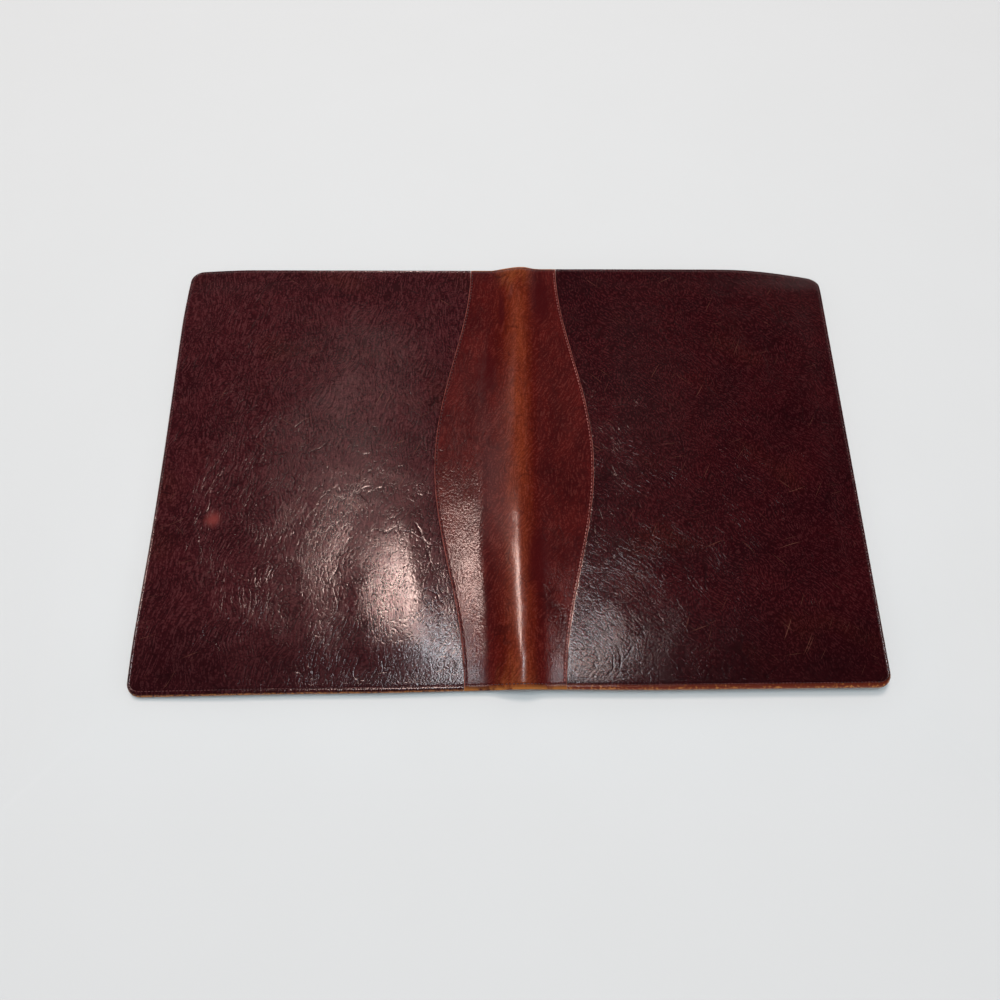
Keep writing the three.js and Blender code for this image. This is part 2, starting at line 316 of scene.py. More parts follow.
class Shader(Nodes):
    """A material's node tree, ending in one principled surface."""

    def __init__(self, name: str) -> None:
        """Makes an empty material of that name."""
        self.material = bpy.data.materials.new(name)
        self.material.use_nodes = True
        super().__init__(self.material.node_tree)

    def flat_place(self) -> Val:
        """The place on the flat leather or cloth, in millimetres."""
        return self.attribute("flat", "Vector")

    def own_place(self) -> Val:
        """The place in the piece itself, in millimetres."""
        made = self.node("ShaderNodeTexCoord")
        return self.along(Val(self, made.outputs["Object"]), 0.0, MM, MM)

    def relief(self, height: Val) -> Val:
        """Bump from a height in millimetres."""
        made = self.node("ShaderNodeBump", None,
                         {"Strength": 1.0, "Distance": MM, "Height": height})
        return Val(self, made.outputs[0])

    def surface(self, colour: Val, rough: Term, normal: Val | None = None,
                **constants: float | Colour) -> bpy.types.Material:
        """Closes the material.

        Args:
            colour: The colour over the surface.
            rough: The roughness over the surface.
            normal: The bumped normal, where there is one.
            constants: Other sockets of the principled surface, spaces as underscores.

        Returns:
            The finished material.
        """
        inputs = {"Base Color": colour, "Roughness": rough}
        inputs |= {key.replace("_", " "): value for key, value in constants.items()}
        if normal is not None:
            inputs["Normal"] = normal
        body = self.node("ShaderNodeBsdfPrincipled", None, inputs)
        self.node("ShaderNodeOutputMaterial", None, {0: Val(self, body.outputs[0])})
        return self.material


# ---------------------------------------------------------------- finishes


@dataclass(frozen=True)
class Grain:
    """Relief of glazed leather: directions in degrees, heights and sizes in millimetres."""

    lean: float
    cross: float
    wrinkle: float = 0.095
    pebble: float = 0.045
    crease: float = 0.06
    cell: float = 1.3
    fold: tuple[float, float] = (9.0, 1.2)
    cross_share: float = 0.7
    bend: tuple[float, float] = (30.0, 14.0)
    crack: tuple[float, float] = (26.0, 16.0)
    contour: tuple[float, float] = (17.0, 3.4)
    mesh: tuple[float, float] = (9.0, 5.0)

    def build(self, sh: Shader, place: Val) -> tuple[Val, Val, Val]:
        """Builds the relief.

        Args:
            sh: The material under work.
            place: The place on the flat leather.

        Returns:
            The height, the mask of the creases, and the grain's tone from pit to crest.
        """
        bent = sh.warp(place, *self.bend)
        long, fine = self.fold
        main = sh.noise(sh.along(bent, self.lean, long, fine), 3.0, 0.5)
        cross = sh.noise(sh.along(bent, self.cross, long * self.cross_share, fine), 3.0, 0.5)
        sway = sh.noise(sh.along(place, 0.0, 34.0, 34.0), 1.0).step(0.38, 0.62)
        patch = sh.noise(sh.along(place, 20.0, 60.0, 40.0), 1.0).step(0.35, 0.66)
        folds = main * (1.0 - sway) + cross * sway
        pit = sh.cells(sh.along(bent, 0.0, self.cell, self.cell), "F1")
        pit = pit * pit
        edges = sh.cells(sh.along(sh.warp(place, 18.0, 22.0), self.cross, *self.crack),
                         "DISTANCE_TO_EDGE")
        broken = sh.noise(sh.along(place, 0.0, 22.0, 22.0), 1.0).step(0.5, 0.64)
        crease = (1.0 - edges.step(0.0, 0.045)) * broken
        contour = sh.noise(sh.along(bent, self.lean, *self.contour), 1.0)
        thin = (1.0 - abs(contour - 0.5).step(0.0, 0.04)) * (patch * 0.6 + 0.4)
        mesh = sh.cells(sh.along(bent, self.lean, *self.mesh), "DISTANCE_TO_EDGE")
        torn = sh.noise(sh.along(place, 0.0, 9.0, 9.0), 1.0).step(0.42, 0.6)
        crease = crease.most(thin * 0.5).most((1.0 - mesh.step(0.0, 0.09)) * torn * 0.5)
        height = (folds * (patch * 0.55 + 0.55) * self.wrinkle
                  - pit * self.pebble - crease * self.crease)
        return height, crease, (folds * 0.75 - pit * 0.25).step(0.17, 0.44)


def scratches(sh: Shader, place: Val, turns: tuple[float, ...]) -> Val:
    """Mask of fine scratches that run in the given directions, in degrees."""
    mask = None
    for i, turn in enumerate(turns):
        bent = sh.warp(place, 60.0 + 9.0 * i, 16.0)
        line = sh.noise(sh.along(bent, turn, 26.0, 0.8), 0.0).step(0.78, 0.86)
        mask = line if mask is None else mask.most(line)
    return mask


@dataclass(frozen=True)
class CoverLeather:
    """Oxblood glazed leather of the covers, rubbed tan where its edge is turned."""

    name: str
    grain: Grain
    spots: tuple[tuple[float, float, float, Colour], ...] = ()
    deep: Colour = srgb(49, 11, 16)
    body: Colour = srgb(69, 22, 26)
    warm: Colour = srgb(72, 30, 18)
    # Dark colour of the grain's pits, also used for painted shade in the creases and to darken the
    # head edge
    pit: Colour = srgb(26, 4, 7)
    # Painted sheen on the grain's crests
    painted_sheen: Colour = srgb(92, 52, 53)
    scuff: Colour = srgb(140, 92, 74)
    worn: Colour = srgb(172, 110, 52)
    chafed: Colour = srgb(104, 42, 26)
    head_wear: float = 1.0

    def make(self) -> bpy.types.Material:
        """Makes the material."""
        sh = Shader(self.name)
        place = sh.flat_place()
        rim = sh.attribute("rim")
        _, y, _ = sh.parts(place)
        height, crease, tone = self.grain.build(sh, place)
        mottle = sh.noise(sh.along(place, 30.0, 46.0, 30.0), 4.0, 0.6)
        colour = sh.tint(mottle.step(0.25, 0.75), self.deep, self.body)
        rust = sh.noise(sh.along(place, -25.0, 80.0, 48.0), 2.0).step(0.55, 0.74)
        colour = sh.tint(rust * 0.3, colour, self.warm)
        # Darker in the grain's pits, partly the leather's own grain tone and partly painted shade;
        # lighter on its crests with painted sheen
        colour = sh.tint((1.0 - tone) * 0.6, colour, self.pit)
        colour = sh.tint(tone.step(0.5, 1.0) * 0.34, colour, self.painted_sheen)
        # Darker towards the head edge
        colour = sh.tint((-y).step(95.0, 156.0) * 0.45, colour, self.pit)
        lines = scratches(sh, place, (18.0, -37.0, 62.0))
        rubbed = sh.noise(sh.along(place, 0.0, 33.0, 33.0), 2.0).step(0.42, 0.6)
        colour = sh.tint(lines * rubbed * 0.28, colour, self.scuff)
        # Painted shade in the creases
        colour = sh.tint(crease * 0.6, colour, self.pit)
        for x, v, size, tint in self.spots:
            ragged = sh.spot(place, x, v) + sh.noise(sh.along(place, 0.0, 5.0, 5.0)) * size * 0.6
            colour = sh.tint((1.0 - ragged.step(size * 0.5, size * 1.7)) * 0.7, colour, tint)
        head = (-y).step(147.0, 157.0) * self.head_wear
        chafe = sh.noise(sh.along(place, 0.0, 9.0, 9.0), 4.0, 0.65)
        fleck = sh.noise(sh.along(place, 0.0, 1.9, 1.0), 2.0)
        band = 1.0 - (abs(rim) / (head * 1.9 + 1.1)).step(0.35, 1.15)
        colour = sh.tint(band * head * 0.9, colour, self.chafed)
        wear = band * (chafe * 0.35 + fleck * 0.75 - rim * head * 0.07).step(0.44, 0.6)
        colour = sh.tint(wear * 0.85, colour, self.worn)
        gloss = sh.noise(sh.along(place, 40.0, 24.0, 15.0), 3.0)
        rough = gloss * 0.05 + 0.135 + wear * 0.3
        return sh.surface(colour, rough, sh.relief(height), Specular_IOR_Level=0.5,
                          Specular_Tint=GLAZE_TINT)


@dataclass(frozen=True)
class SpineLeather:
    """Redder leather of the spine, rubbed to chestnut on the ridge and tan at its ends."""

    name: str = "spine_leather"
    deep: Colour = srgb(58, 9, 11)
    body: Colour = srgb(82, 20, 18)
    flank: Colour = srgb(88, 21, 11)
    ridge: Colour = srgb(124, 50, 26)
    # Dark colour of the grain's pits, also used for painted shade in the creases
    pit: Colour = srgb(38, 6, 7)
    # Painted sheen on the grain's crests
    painted_sheen: Colour = srgb(112, 58, 50)
    worn: Colour = srgb(170, 106, 48)
    frayed: Colour = srgb(136, 68, 32)
    # Places and sizes of darker patches on the spine
    dark_patches: tuple[tuple[float, float, float, float], ...] = (
        (-21.0, 68.0, 9.0, 20.0), (20.0, 128.0, 8.0, 24.0), (-9.0, 120.0, 3.0, 18.0),
        (16.0, -75.0, 9.0, 24.0))
    # Pale colour of the turned seam edge: partly wear, partly painted highlight
    seam_line: Colour = srgb(158, 88, 78)

    def make(self) -> bpy.types.Material:
        """Makes the material."""
        sh = Shader(self.name)
        place = sh.flat_place()
        rim = sh.attribute("rim")
        seam = sh.attribute("seam")
        x, y, _ = sh.parts(place)
        height, crease, tone = Grain(
            58.0, 88.0, wrinkle=0.075, pebble=0.05, crease=0.04).build(sh, place)
        mottle = sh.noise(sh.along(place, 90.0, 40.0, 18.0), 4.0, 0.6)
        colour = sh.tint(mottle.step(0.3, 0.7), self.deep, self.body)
        fibre = sh.noise(sh.along(place, 84.0, 26.0, 3.4), 4.0, 0.6)
        cloud = sh.noise(sh.along(place, 90.0, 30.0, 12.0), 3.0)
        side = 1.0 - abs(x - 1.0).step(5.0, 21.0)
        colour = sh.tint(side * (cloud * 0.7 + 0.45), colour, self.flank)
        crown = 1.0 - abs(x - 3.0 + (fibre - 0.5) * 7.0).step(0.0, 12.5)
        colour = sh.tint(crown * (cloud * 1.3 + 0.05), colour, self.ridge)
        ends = (abs(y) + fibre * 44.0).step(158.0, 190.0)
        colour = sh.tint(ends * (1.0 - abs(x).step(4.0, 17.0)) * 0.75, colour, self.frayed)
        # Darker in the grain's pits, partly the leather's own grain tone and partly painted shade;
        # lighter on its crests with painted sheen
        colour = sh.tint((1.0 - tone) * 0.45, colour, self.pit)
        colour = sh.tint(tone.step(0.6, 1.0) * 0.2, colour, self.painted_sheen)
        # Painted shade in the creases
        colour = sh.tint(crease * 0.5, colour, self.pit)
        # Darker patches at the listed places
        for u, v, wide, tall in self.dark_patches:
            off = sh.spot(sh.along(place, 0.0, wide, tall), u / wide, v / tall)
            colour = sh.tint((1.0 - (off + mottle * 0.6).step(0.7, 1.5)) * 0.75, colour, self.deep)
        chafe = sh.noise(sh.along(place, 0.0, 7.0, 7.0), 4.0, 0.65)
        # Pale line along the turned seam edge: partly wear, partly painted highlight where the
        # rolled edge catches the light
        turned = 1.0 - seam.step(0.2, 0.55)
        colour = sh.tint(turned * chafe.step(0.3, 0.6) * 0.85, colour, self.seam_line)
        wear = (1.0 - abs(rim).step(0.6, 2.8)) * chafe.step(0.34, 0.54)
        colour = sh.tint(wear * 0.9, colour, self.worn)
        gloss = sh.noise(sh.along(place, 80.0, 22.0, 12.0), 3.0)
        rough = gloss * 0.05 + 0.135 + wear * 0.3 + ends * 0.1
        taut = 1.0 - abs(x + 3.0).step(14.0, 22.0)
        return sh.surface(colour, rough, sh.relief(height * (1.0 - taut * 0.7)),
                          Specular_IOR_Level=0.27,
                          Specular_Tint=GLAZE_TINT)


@dataclass(frozen=True)
class PocketLeather:
    """Matt pocket leather of the inside."""

    name: str = "pocket_leather"
    deep: Colour = srgb(56, 16, 18)
    body: Colour = srgb(78, 30, 28)

    def make(self) -> bpy.types.Material:
        """Makes the material."""
        sh = Shader(self.name)
        place = sh.flat_place()
        height, crease, tone = Grain(10.0, 80.0, wrinkle=0.2, pebble=0.1).build(sh, place)
        mottle = sh.noise(sh.along(place, 0.0, 36.0, 36.0), 4.0, 0.6)
        colour = sh.tint(mottle.step(0.3, 0.7), self.deep, self.body)
        # Painted shade in the creases, and in the grain's pits partly as the leather's own tone
        # and partly as painted shade
        colour = sh.tint(crease * 0.4 + (1.0 - tone) * 0.3, colour, self.deep)
        return sh.surface(colour, mottle * 0.2 + 0.42, sh.relief(height))


@dataclass(frozen=True)
class LiningCloth:
    """Plain woven lining, dark red."""

    name: str = "lining_cloth"
    dark: Colour = srgb(48, 20, 21)
    light: Colour = srgb(82, 40, 38)
    thread: float = 0.55

    def make(self) -> bpy.types.Material:
        """Makes the material."""
        sh = Shader(self.name)
        place = sh.flat_place()
        weave = []
        for turn in (0.0, 90.0):
            made = sh.node(
                "ShaderNodeTexWave", {"wave_type": "BANDS", "bands_direction": "X"},
                {"Vector": sh.along(place, turn, self.thread * 3.14, self.thread * 3.14),
                 "Scale": 1.0, "Distortion": 0.6, "Detail": 1.0})
            weave.append(Val(sh, made.outputs["Fac"]))
        web = weave[0] * weave[1]
        slub = sh.noise(sh.along(place, 0.0, 14.0, 0.8), 2.0)
        colour = sh.tint(web * 0.7 + slub * 0.3, self.dark, self.light)
        return sh.surface(colour, slub * 0.1 + 0.75, sh.relief(web * 0.12 + slub * 0.05))


@dataclass(frozen=True)
class Card:
    """Pulp board: grey in the covers, brown behind the pad."""

    name: str
    dark: Colour
    light: Colour

    def make(self) -> bpy.types.Material:
        """Makes the material."""
        sh = Shader(self.name)
        place = sh.own_place()
        pulp = sh.noise(sh.along(place, 12.0, 5.0, 1.6), 5.0, 0.7)
        fleck = sh.noise(sh.along(place, 70.0, 2.6, 0.7), 2.0).step(0.66, 0.74)
        cloud = sh.noise(sh.along(place, 0.0, 60.0, 60.0), 3.0)
        colour = sh.tint(pulp * 0.6 + cloud * 0.4, self.dark, self.light)
        colour = sh.tint(fleck * 0.35, colour, self.dark)
        return sh.surface(colour, pulp * 0.1 + 0.8, sh.relief(pulp * 0.05))


@dataclass(frozen=True)
class RuledPaper:
    """Writing paper with faint ruled lines and a margin."""

    name: str = "ruled_paper"
    paper: Colour = srgb(240, 236, 222)
    shade: Colour = srgb(228, 222, 206)
    rule: Colour = srgb(150, 172, 196)
    margin: Colour = srgb(206, 120, 118)
    pitch: float = 8.7

    def make(self) -> bpy.types.Material:
        """Makes the material."""
        sh = Shader(self.name)
        place = sh.own_place()
        x, y, _ = sh.parts(place)
        fibre = sh.noise(sh.along(place, 0.0, 4.0, 1.2), 4.0, 0.6)
        colour = sh.tint(fibre, self.shade, self.paper)
        within = abs(sh.math("PINGPONG", y + 400.0, self.pitch / 2))
        colour = sh.tint((1.0 - within.step(0.1, 0.3)) * 0.6, colour, self.rule)
        colour = sh.tint((1.0 - abs(x - 202.0).step(0.15, 0.4)) * 0.6, colour, self.margin)
        return sh.surface(colour, fibre * 0.1 + 0.8, sh.relief(fibre * 0.03))


@dataclass(frozen=True)
class BindingTape:
    """Crinkled tape over the head of the pad."""

    name: str = "binding_tape"
    dark: Colour = srgb(52, 24, 22)
    light: Colour = srgb(88, 44, 38)

    def make(self) -> bpy.types.Material:
        """Makes the material."""
        sh = Shader(self.name)
        place = sh.own_place()
        crinkle = sh.noise(sh.along(place, 90.0, 6.0, 0.9), 3.0, 0.6)
        colour = sh.tint(crinkle, self.dark, self.light)
        return sh.surface(colour, crinkle * 0.2 + 0.55, sh.relief(crinkle * 0.15))


@dataclass(frozen=True)
class Thread:
    """Waxed sewing thread, faded where it is rubbed."""

    name: str
    dark: Colour
    light: Colour

    def make(self) -> bpy.types.Material:
        """Makes the material."""
        sh = Shader(self.name)
        place = sh.flat_place()
        fade = sh.noise(sh.along(place, 0.0, 11.0, 11.0), 3.0, 0.7)
        ply = sh.noise(sh.along(place, 45.0, 0.9, 0.22), 1.0)
        colour = sh.tint(fade.step(0.35, 0.65), self.dark, self.light)
        return sh.surface(colour, ply * 0.2 + 0.45, sh.relief(ply * 0.08))


@dataclass(frozen=True)
class TableTop:
    """Pale floor. The camera sees half through it, so that what swings under it shows.

    Round the folio's head, where its shadow falls, the floor is solid.
    """

    name: str = "table_top"
    pale: Colour = srgb(216, 216, 216)
    dull: Colour = srgb(212, 212, 211)
    see_through: float = 0.5
    reach: tuple[float, float] = (242.6, HALF_LENGTH)
    solid_inner: tuple[float, float] = (-16.0, -2.0)
    solid_outer: tuple[float, float] = (14.0, 90.0)
    solid_front: tuple[float, float] = (-120.0, 60.0)

    def make(self) -> bpy.types.Material:
        """Makes the material."""
        sh = Shader(self.name)
        place = sh.own_place()
        cloud = sh.noise(sh.along(place, 0.0, 90.0, 90.0), 4.0)
        colour = sh.tint(cloud, self.dull, self.pale)
        body = sh.node("ShaderNodeBsdfPrincipled", None,
                       {"Base Color": colour, "Roughness": 0.9, "Specular IOR Level": 0.0})
        x, y, _ = sh.parts(place)
        past = (abs(x) - self.reach[0]).most(abs(y) - self.reach[1])
        solid = past.step(*self.solid_inner) * (1.0 - past.step(*self.solid_outer)) * (
            1.0 - y.step(*self.solid_front))
        ray = sh.node("ShaderNodeLightPath")
        share = Val(sh, ray.outputs["Is Camera Ray"]) * (1.0 - solid) * self.see_through
        clear = sh.node("ShaderNodeBsdfTransparent")
        mixed = sh.node("ShaderNodeMixShader", None,
                        {0: share, 1: Val(sh, body.outputs[0]), 2: Val(sh, clear.outputs[0])})
        sh.node("ShaderNodeOutputMaterial", None, {0: Val(sh, mixed.outputs[0])})
        return sh.material


class Finishes:
    """Every finish of the folio, each made once."""

    def __init__(self) -> None:
        """Makes the materials."""
        self.front_skin = CoverLeather(
            "front_cover_leather", Grain(74.0, 100.0),
            spots=((-202.0, -43.5, 5.4, srgb(124, 54, 50)),
                   (-227.5, 74.5, 1.6, srgb(16, 4, 6))), head_wear=0.2).make()
        self.back_skin = CoverLeather(
            "back_cover_leather", Grain(-38.0, -72.0, wrinkle=0.065, fold=(4.0, 0.9)),
            deep=srgb(38, 3, 8), body=srgb(55, 8, 13), warm=srgb(66, 22, 10),
            pit=srgb(22, 2, 4), painted_sheen=srgb(76, 36, 37)).make()
        self.spine_skin = SpineLeather().make()
        self.pocket = PocketLeather().make()
        self.lining = LiningCloth().make()
        self.board = Card("grey_board", srgb(118, 110, 98), srgb(150, 142, 128)).make()
        self.backing = Card("pad_chipboard", srgb(128, 106, 78), srgb(170, 146, 112)).make()
        self.paper = RuledPaper().make()
        self.binding = BindingTape().make()
        self.edge_thread = Thread("edge_thread", srgb(34, 8, 12), srgb(92, 40, 38)).make()
        self.seam_threads = {
            Side.FRONT: Thread("front_seam_thread", srgb(36, 8, 10), srgb(70, 26, 26)).make(),
            Side.BACK: Thread("back_seam_thread", srgb(110, 50, 46), srgb(168, 98, 90)).make()}
        self.table = TableTop().make()


# ---------------------------------------------------------------- shapes


@dataclass(frozen=True)
class Drape:
    """How the soft folio lies: the spine pulled to one side and its corners sagging."""

    skew: float = 3.5
    twist: float = 0.0126
    tail_pull: float = 8.2
    tail_droop: float = 1.7
    tail_soften: float = 2.2
    head_droop: float = 1.4
    head_gather: float = 0.9
    front_waist: float = 0.8
    head_flare: float = 1.1
    mound_rise: float = 0.1
    mound_width: float = 10.0

    def shift(self, x: Points, y: Points, layer: Layer) -> Points:
        """How far a layer moves with the spine, in X."""
        reach = abs(x)
        follow = {Layer.SKIN: 1.0 - smooth(reach, 50.0, 236.0),
                  Layer.LINING: 1.0 - smooth(reach, 8.0, 18.0),
                  Layer.INSIDE: 0.0}[layer]
        return (self.skew + self.twist * y) * follow

    def mound(self, x: Points, y: Points) -> Points:
        """Rise of the leather along the seams, where two hides lie on each other."""
        off = np.maximum(abs(x) - SpineShape().reach(y), 0.0) / self.mound_width
        return self.mound_rise * np.exp(-off * off) * smooth(HALF_LENGTH - abs(y), 3.5, 24.0)

    def lay(self, points: Points, layer: Layer) -> Points:
        """Lays flat points as the real folio lies.

        Args:
            points: Rows of X, Y and Z, in millimetres.
            layer: The layer that they belong to.

        Returns:
            The points in their settled places.
        """
        x, y, z = points.T
        far = np.clip((x - 170.0) / 70.0, 0.0, None) ** 1.93
        pull = -self.tail_pull * far * np.clip((y - 100.0) / 59.0, 0.0, None) ** 2
        droop = -self.tail_droop * smooth(x, 150.0, 236.0) * ramp(y, 141.0, HALF_LENGTH) ** 1.5
        soften = self.tail_soften * (ramp(-x, 196.0, 242.0) * ramp(y, 108.0, 158.0)) ** 1.5
        droop = droop - self.head_droop * smooth(-x, 180.0, 240.0) * (
            ramp(-y, 125.0, HALF_LENGTH) ** 1.3)
        gather = self.head_gather * smooth(-y, 60.0, HALF_LENGTH) * (
            1.0 - smooth(abs(x), 15.0, 95.0) - smooth(-x, 120.0, 240.0))
        flare = self.head_flare * smooth(-y, 50.0, 140.0)
        waist = smooth(-x, 150.0, 240.0) * (
            self.front_waist * np.exp(-(y / 80.0) ** 2) - flare)
        if layer is Layer.SKIN:
            droop = droop + self.mound(x, y)
        return np.stack([x + self.shift(x, y, layer) + soften + waist,
                         y + pull - soften * 1.2 + gather, z + droop], axis=1)


@dataclass(frozen=True)
class SpineShape:
    """The ogee seams of the spine leather."""

    end_reach: float = 32.5
    middle_reach: float = 55.8
    length: float = 2.0 * HALF_LENGTH

    def reach(self, y: Points) -> Points:
        """Distance of the ogee seam from the spine's middle."""
        share = (1.0 + np.cos(2.0 * math.pi * y / self.length)) / 2.0
        return self.end_reach + (self.middle_reach - self.end_reach) * share


@dataclass(frozen=True)
class LiningCourse:
    """How the lining runs from cover to cover: a plain step with a low arch under the ridge."""

    widths: tuple[float, float] = (10.0, 8.0)
    step_ends: tuple[float, float] = (-12.0, 12.0)
    arch_rise: float = 2.3
    flat_past: float = 9.0

    def top(self, x: Points) -> Points:
        """Height of the leather's plain outside over the lining, in millimetres."""
        low, high = Side.FRONT.top, Side.BACK.top
        width = np.where(x < 0.0, *self.widths)
        off = np.clip(x / width, -self.flat_past, self.flat_past)
        return low + (high - low) * smooth(x, *self.step_ends) + self.arch_rise / np.cosh(off) ** 2


@dataclass(frozen=True)
class RidgeShape(SpineShape):
    """The outside of the spine leather: a straight flank up to a round crest, and down again."""

    step_ends: tuple[float, float] = (-24.0, 12.0)
    ridge_rise: float = 3.0
    end_rise: float = 3.9
    crest: float = 7.0
    crest_round: float = 3.2
    foot: float = 0.5
    foot_share: float = 0.49
    foot_round: float = 1.5
    back_foot: float = 17.0
    end_run: tuple[float, float] = (105.0, 157.0)
    dent_depth: float = 1.3
    dent_place: tuple[float, float] = (-3.4, 139.0)
    dent_size: tuple[float, float] = (2.6, 7.5)

    def step(self, x: Points) -> Points:
        """Share of the back cover's values across the ridge, 0 at the front and 1 at the back."""
        return smooth(x, *self.step_ends)

    def top(self, x: Points, y: Points) -> Points:
        """Height of the spine leather's outside, without its laps.

        Args:
            x: Places across the spine.
            y: Places along the spine.

        Returns:
            Heights over the table, in millimetres.
        """
        low, high = Side.FRONT.top, Side.BACK.top
        ends = smooth(abs(y), *self.end_run)
        rise = self.ridge_rise + (self.end_rise - self.ridge_rise) * ends
        foot = self.foot - self.foot_share * self.reach(y)
        front = (high - low + rise) / (self.crest - foot)
        back = rise / (self.back_foot - self.crest)
        turns = ((front, foot, self.foot_round), (-front - back, self.crest, self.crest_round),
                 (back, self.back_foot, self.foot_round))
        (u, v), (wide, tall) = self.dent_place, self.dent_size
        dent = np.exp(-((x - u) / wide) ** 2 - ((y - v) / tall) ** 2)
        level = low - self.dent_depth * dent
        for turn, place, bend in turns:
            level = level + turn * bend * np.logaddexp(0.0, (x - place) / bend)
        return level


class Sheet:
    """Leather, card or cloth: one net of faces over paired outer and inner points."""

    def __init__(self, drape: Drape, layer: Layer) -> None:
        """Starts an empty sheet that will be laid as its layer lies."""
        self.drape = drape
        self.layer = layer
        self.rows: dict[str, list[Points]] = {
            "outer": [], "inner": [], "flat": [], "rim": [], "seam": []}
        self.faces: list[tuple[int, ...]] = []
        self.count = 0

    def points(self, outer: Points, inner: Points, flat: Points,
               rim: Points | float = FAR, seam: Points | float = FAR) -> Points:
        """Adds paired points.

        Args:
            outer: Places on the outside, in any shape of rows of three.
            inner: Places on the inside, in the same shape.
            flat: Places on the flat sheet, rows of two.
            rim: Distance from the turned edge, below 0 past its turn.
            seam: Distance from the ogee seam.

        Returns:
            The numbers of the points, in the same shape.
        """
        shape = outer.shape[:-1]
        size = int(np.prod(shape))
        level = np.zeros((size, 1))
        self.rows["outer"].append(outer.reshape(-1, 3))
        self.rows["inner"].append(inner.reshape(-1, 3))
        self.rows["flat"].append(np.hstack([flat.reshape(-1, 2), level]))
        self.rows["rim"].append(np.broadcast_to(rim, shape).reshape(-1))
        self.rows["seam"].append(np.broadcast_to(seam, shape).reshape(-1))
        self.count += size
        return np.arange(self.count - size, self.count).reshape(shape)

    def net(self, numbers: Points) -> None:
        """Spans faces over a grid of point numbers."""
        corners = (numbers[:-1, :-1], numbers[:-1, 1:], numbers[1:, 1:], numbers[1:, :-1])
        self.faces += list(zip(*(c.ravel().tolist() for c in corners)))

    def build(self, name: str, material: bpy.types.Material) -> bpy.types.Object:
        """Makes the closed mesh.

        Args:
            name: Name of the piece.
            material: Its finish.

        Returns:
            The new object.
        """
        gathered = {key: np.concatenate(rows) for key, rows in self.rows.items()}
        outer = self.drape.lay(gathered["outer"], self.layer)
        inner = self.drape.lay(gathered["inner"], self.layer)
        keys = np.round(np.hstack([outer, inner]), 4)
        _, first, where = np.unique(keys, axis=0, return_index=True, return_inverse=True)
        where = where.ravel()
        fronts = []
        for face in self.faces:
            ring = list(dict.fromkeys(int(where[i]) for i in face))
            if len(ring) > 2:
                fronts.append(tuple(ring))
        half = len(first)
        edges = {(f[i - 1], f[i]): None for f in fronts for i in range(len(f))}
        walls = [(b, a, a + half, b + half) for a, b in edges if (b, a) not in edges]
        backs = [tuple(i + half for i in reversed(f)) for f in fronts]
        places = np.concatenate([outer[first], inner[first]])
        made = new_piece(name, places, fronts + backs + walls, material)
        for key, kind in (("flat", "FLOAT_VECTOR"), ("rim", "FLOAT"), ("seam", "FLOAT")):
            values = np.concatenate([gathered[key][first]] * 2).astype(np.float32)
            spot = made.data.attributes.new(key, kind, "POINT")
            spot.data.foreach_set("vector" if kind == "FLOAT_VECTOR" else "value",
                                  values.ravel())
        return made


def new_piece(name: str, places: Points, faces: list[tuple[int, ...]],
              material: bpy.types.Material, crease_angle: float = 50.0) -> bpy.types.Object:
    """Makes a smooth mesh object from places in millimetres.

    Args:
        name: Name of the piece.
        places: Rows of X, Y and Z.
        faces: Point numbers of each face.
        material: The piece's finish.
        crease_angle: Edges sharper than this stay sharp, in degrees.

    Returns:
        The new object, in the scene.
    """
    mesh = bpy.data.meshes.new(name)
    mesh.from_pydata((places * MM).tolist(), [], faces)
    net = bmesh.new()
    net.from_mesh(mesh)
    bmesh.ops.recalc_face_normals(net, faces=net.faces)
    net.to_mesh(mesh)
    net.free()
    mesh.shade_smooth()
    mesh.set_sharp_from_angle(angle=math.radians(crease_angle))
    mesh.materials.append(material)
    made = bpy.data.objects.new(name, mesh)
    bpy.context.scene.collection.objects.link(made)
    LOG.info("%s: %d points, %d faces", name, len(mesh.vertices), len(mesh.polygons))
    return made


# The turned edge, from its stitch groove round the board and under it: inset and drop of the
# outside, then inset and drop of the inside
TURNED_EDGE = (
    (6.5, 0.0, 6.5, 1.1), (4.2, 0.0, 4.2, 1.1), (2.8, 0.0, 2.8, 1.1), (2.5, 0.05, 2.55, 1.1),
    (2.25, 0.15, 2.35, 1.1), (2.0, 0.2, 2.15, 1.1), (1.75, 0.14, 2.0, 1.1),
    (1.5, 0.03, 1.85, 1.1), (1.2, 0.02, 1.7, 1.1), (0.85, 0.12, 1.55, 1.1),
    (0.45, 0.42, 1.42, 1.1), (0.13, 0.87, 1.3, 1.12), (0.0, 1.4, 1.2, 1.3),
    (0.0, 1.85, 1.15, 1.8), (0.15, 2.35, 1.15, 2.2), (0.5, 2.8, 1.2, 2.5),
    (1.0, 3.08, 1.35, 2.6), (1.7, 3.2, 1.8, 2.6), (6.0, 3.2, 6.0, 2.6), (14.0, 3.2, 14.0, 2.6))
# The same edge at the head, where it is rolled wider and sewn further in
HEAD_EDGE = (
    (6.5, 0.06, 6.5, 1.1), (5.2, 0.12, 5.2, 1.1), (4.2, 0.18, 4.2, 1.1), (3.9, 0.22, 3.95, 1.1),
    (3.65, 0.3, 3.75, 1.1), (3.4, 0.34, 3.5, 1.1), (3.15, 0.26, 3.25, 1.1),
    (2.85, 0.18, 3.0, 1.1), (2.0, 0.1, 2.5, 1.1), (1.3, 0.22, 2.0, 1.1),
    (0.7, 0.55, 1.6, 1.1), (0.2, 0.95, 1.35, 1.12)) + TURNED_EDGE[12:]
EDGE_APEX = 12
EDGE_DEPTH = 3.2
STITCH_INSET = 2.0
HEAD_STITCH_INSET = 3.4
STITCH_DROP = 0.12
CORE = 9.0


def rim_lift(inset: Points) -> Points:
    """Share of a lap's rise that is left at a distance from the head or tail edge."""
    return smooth(inset, 0.3, 4.2)


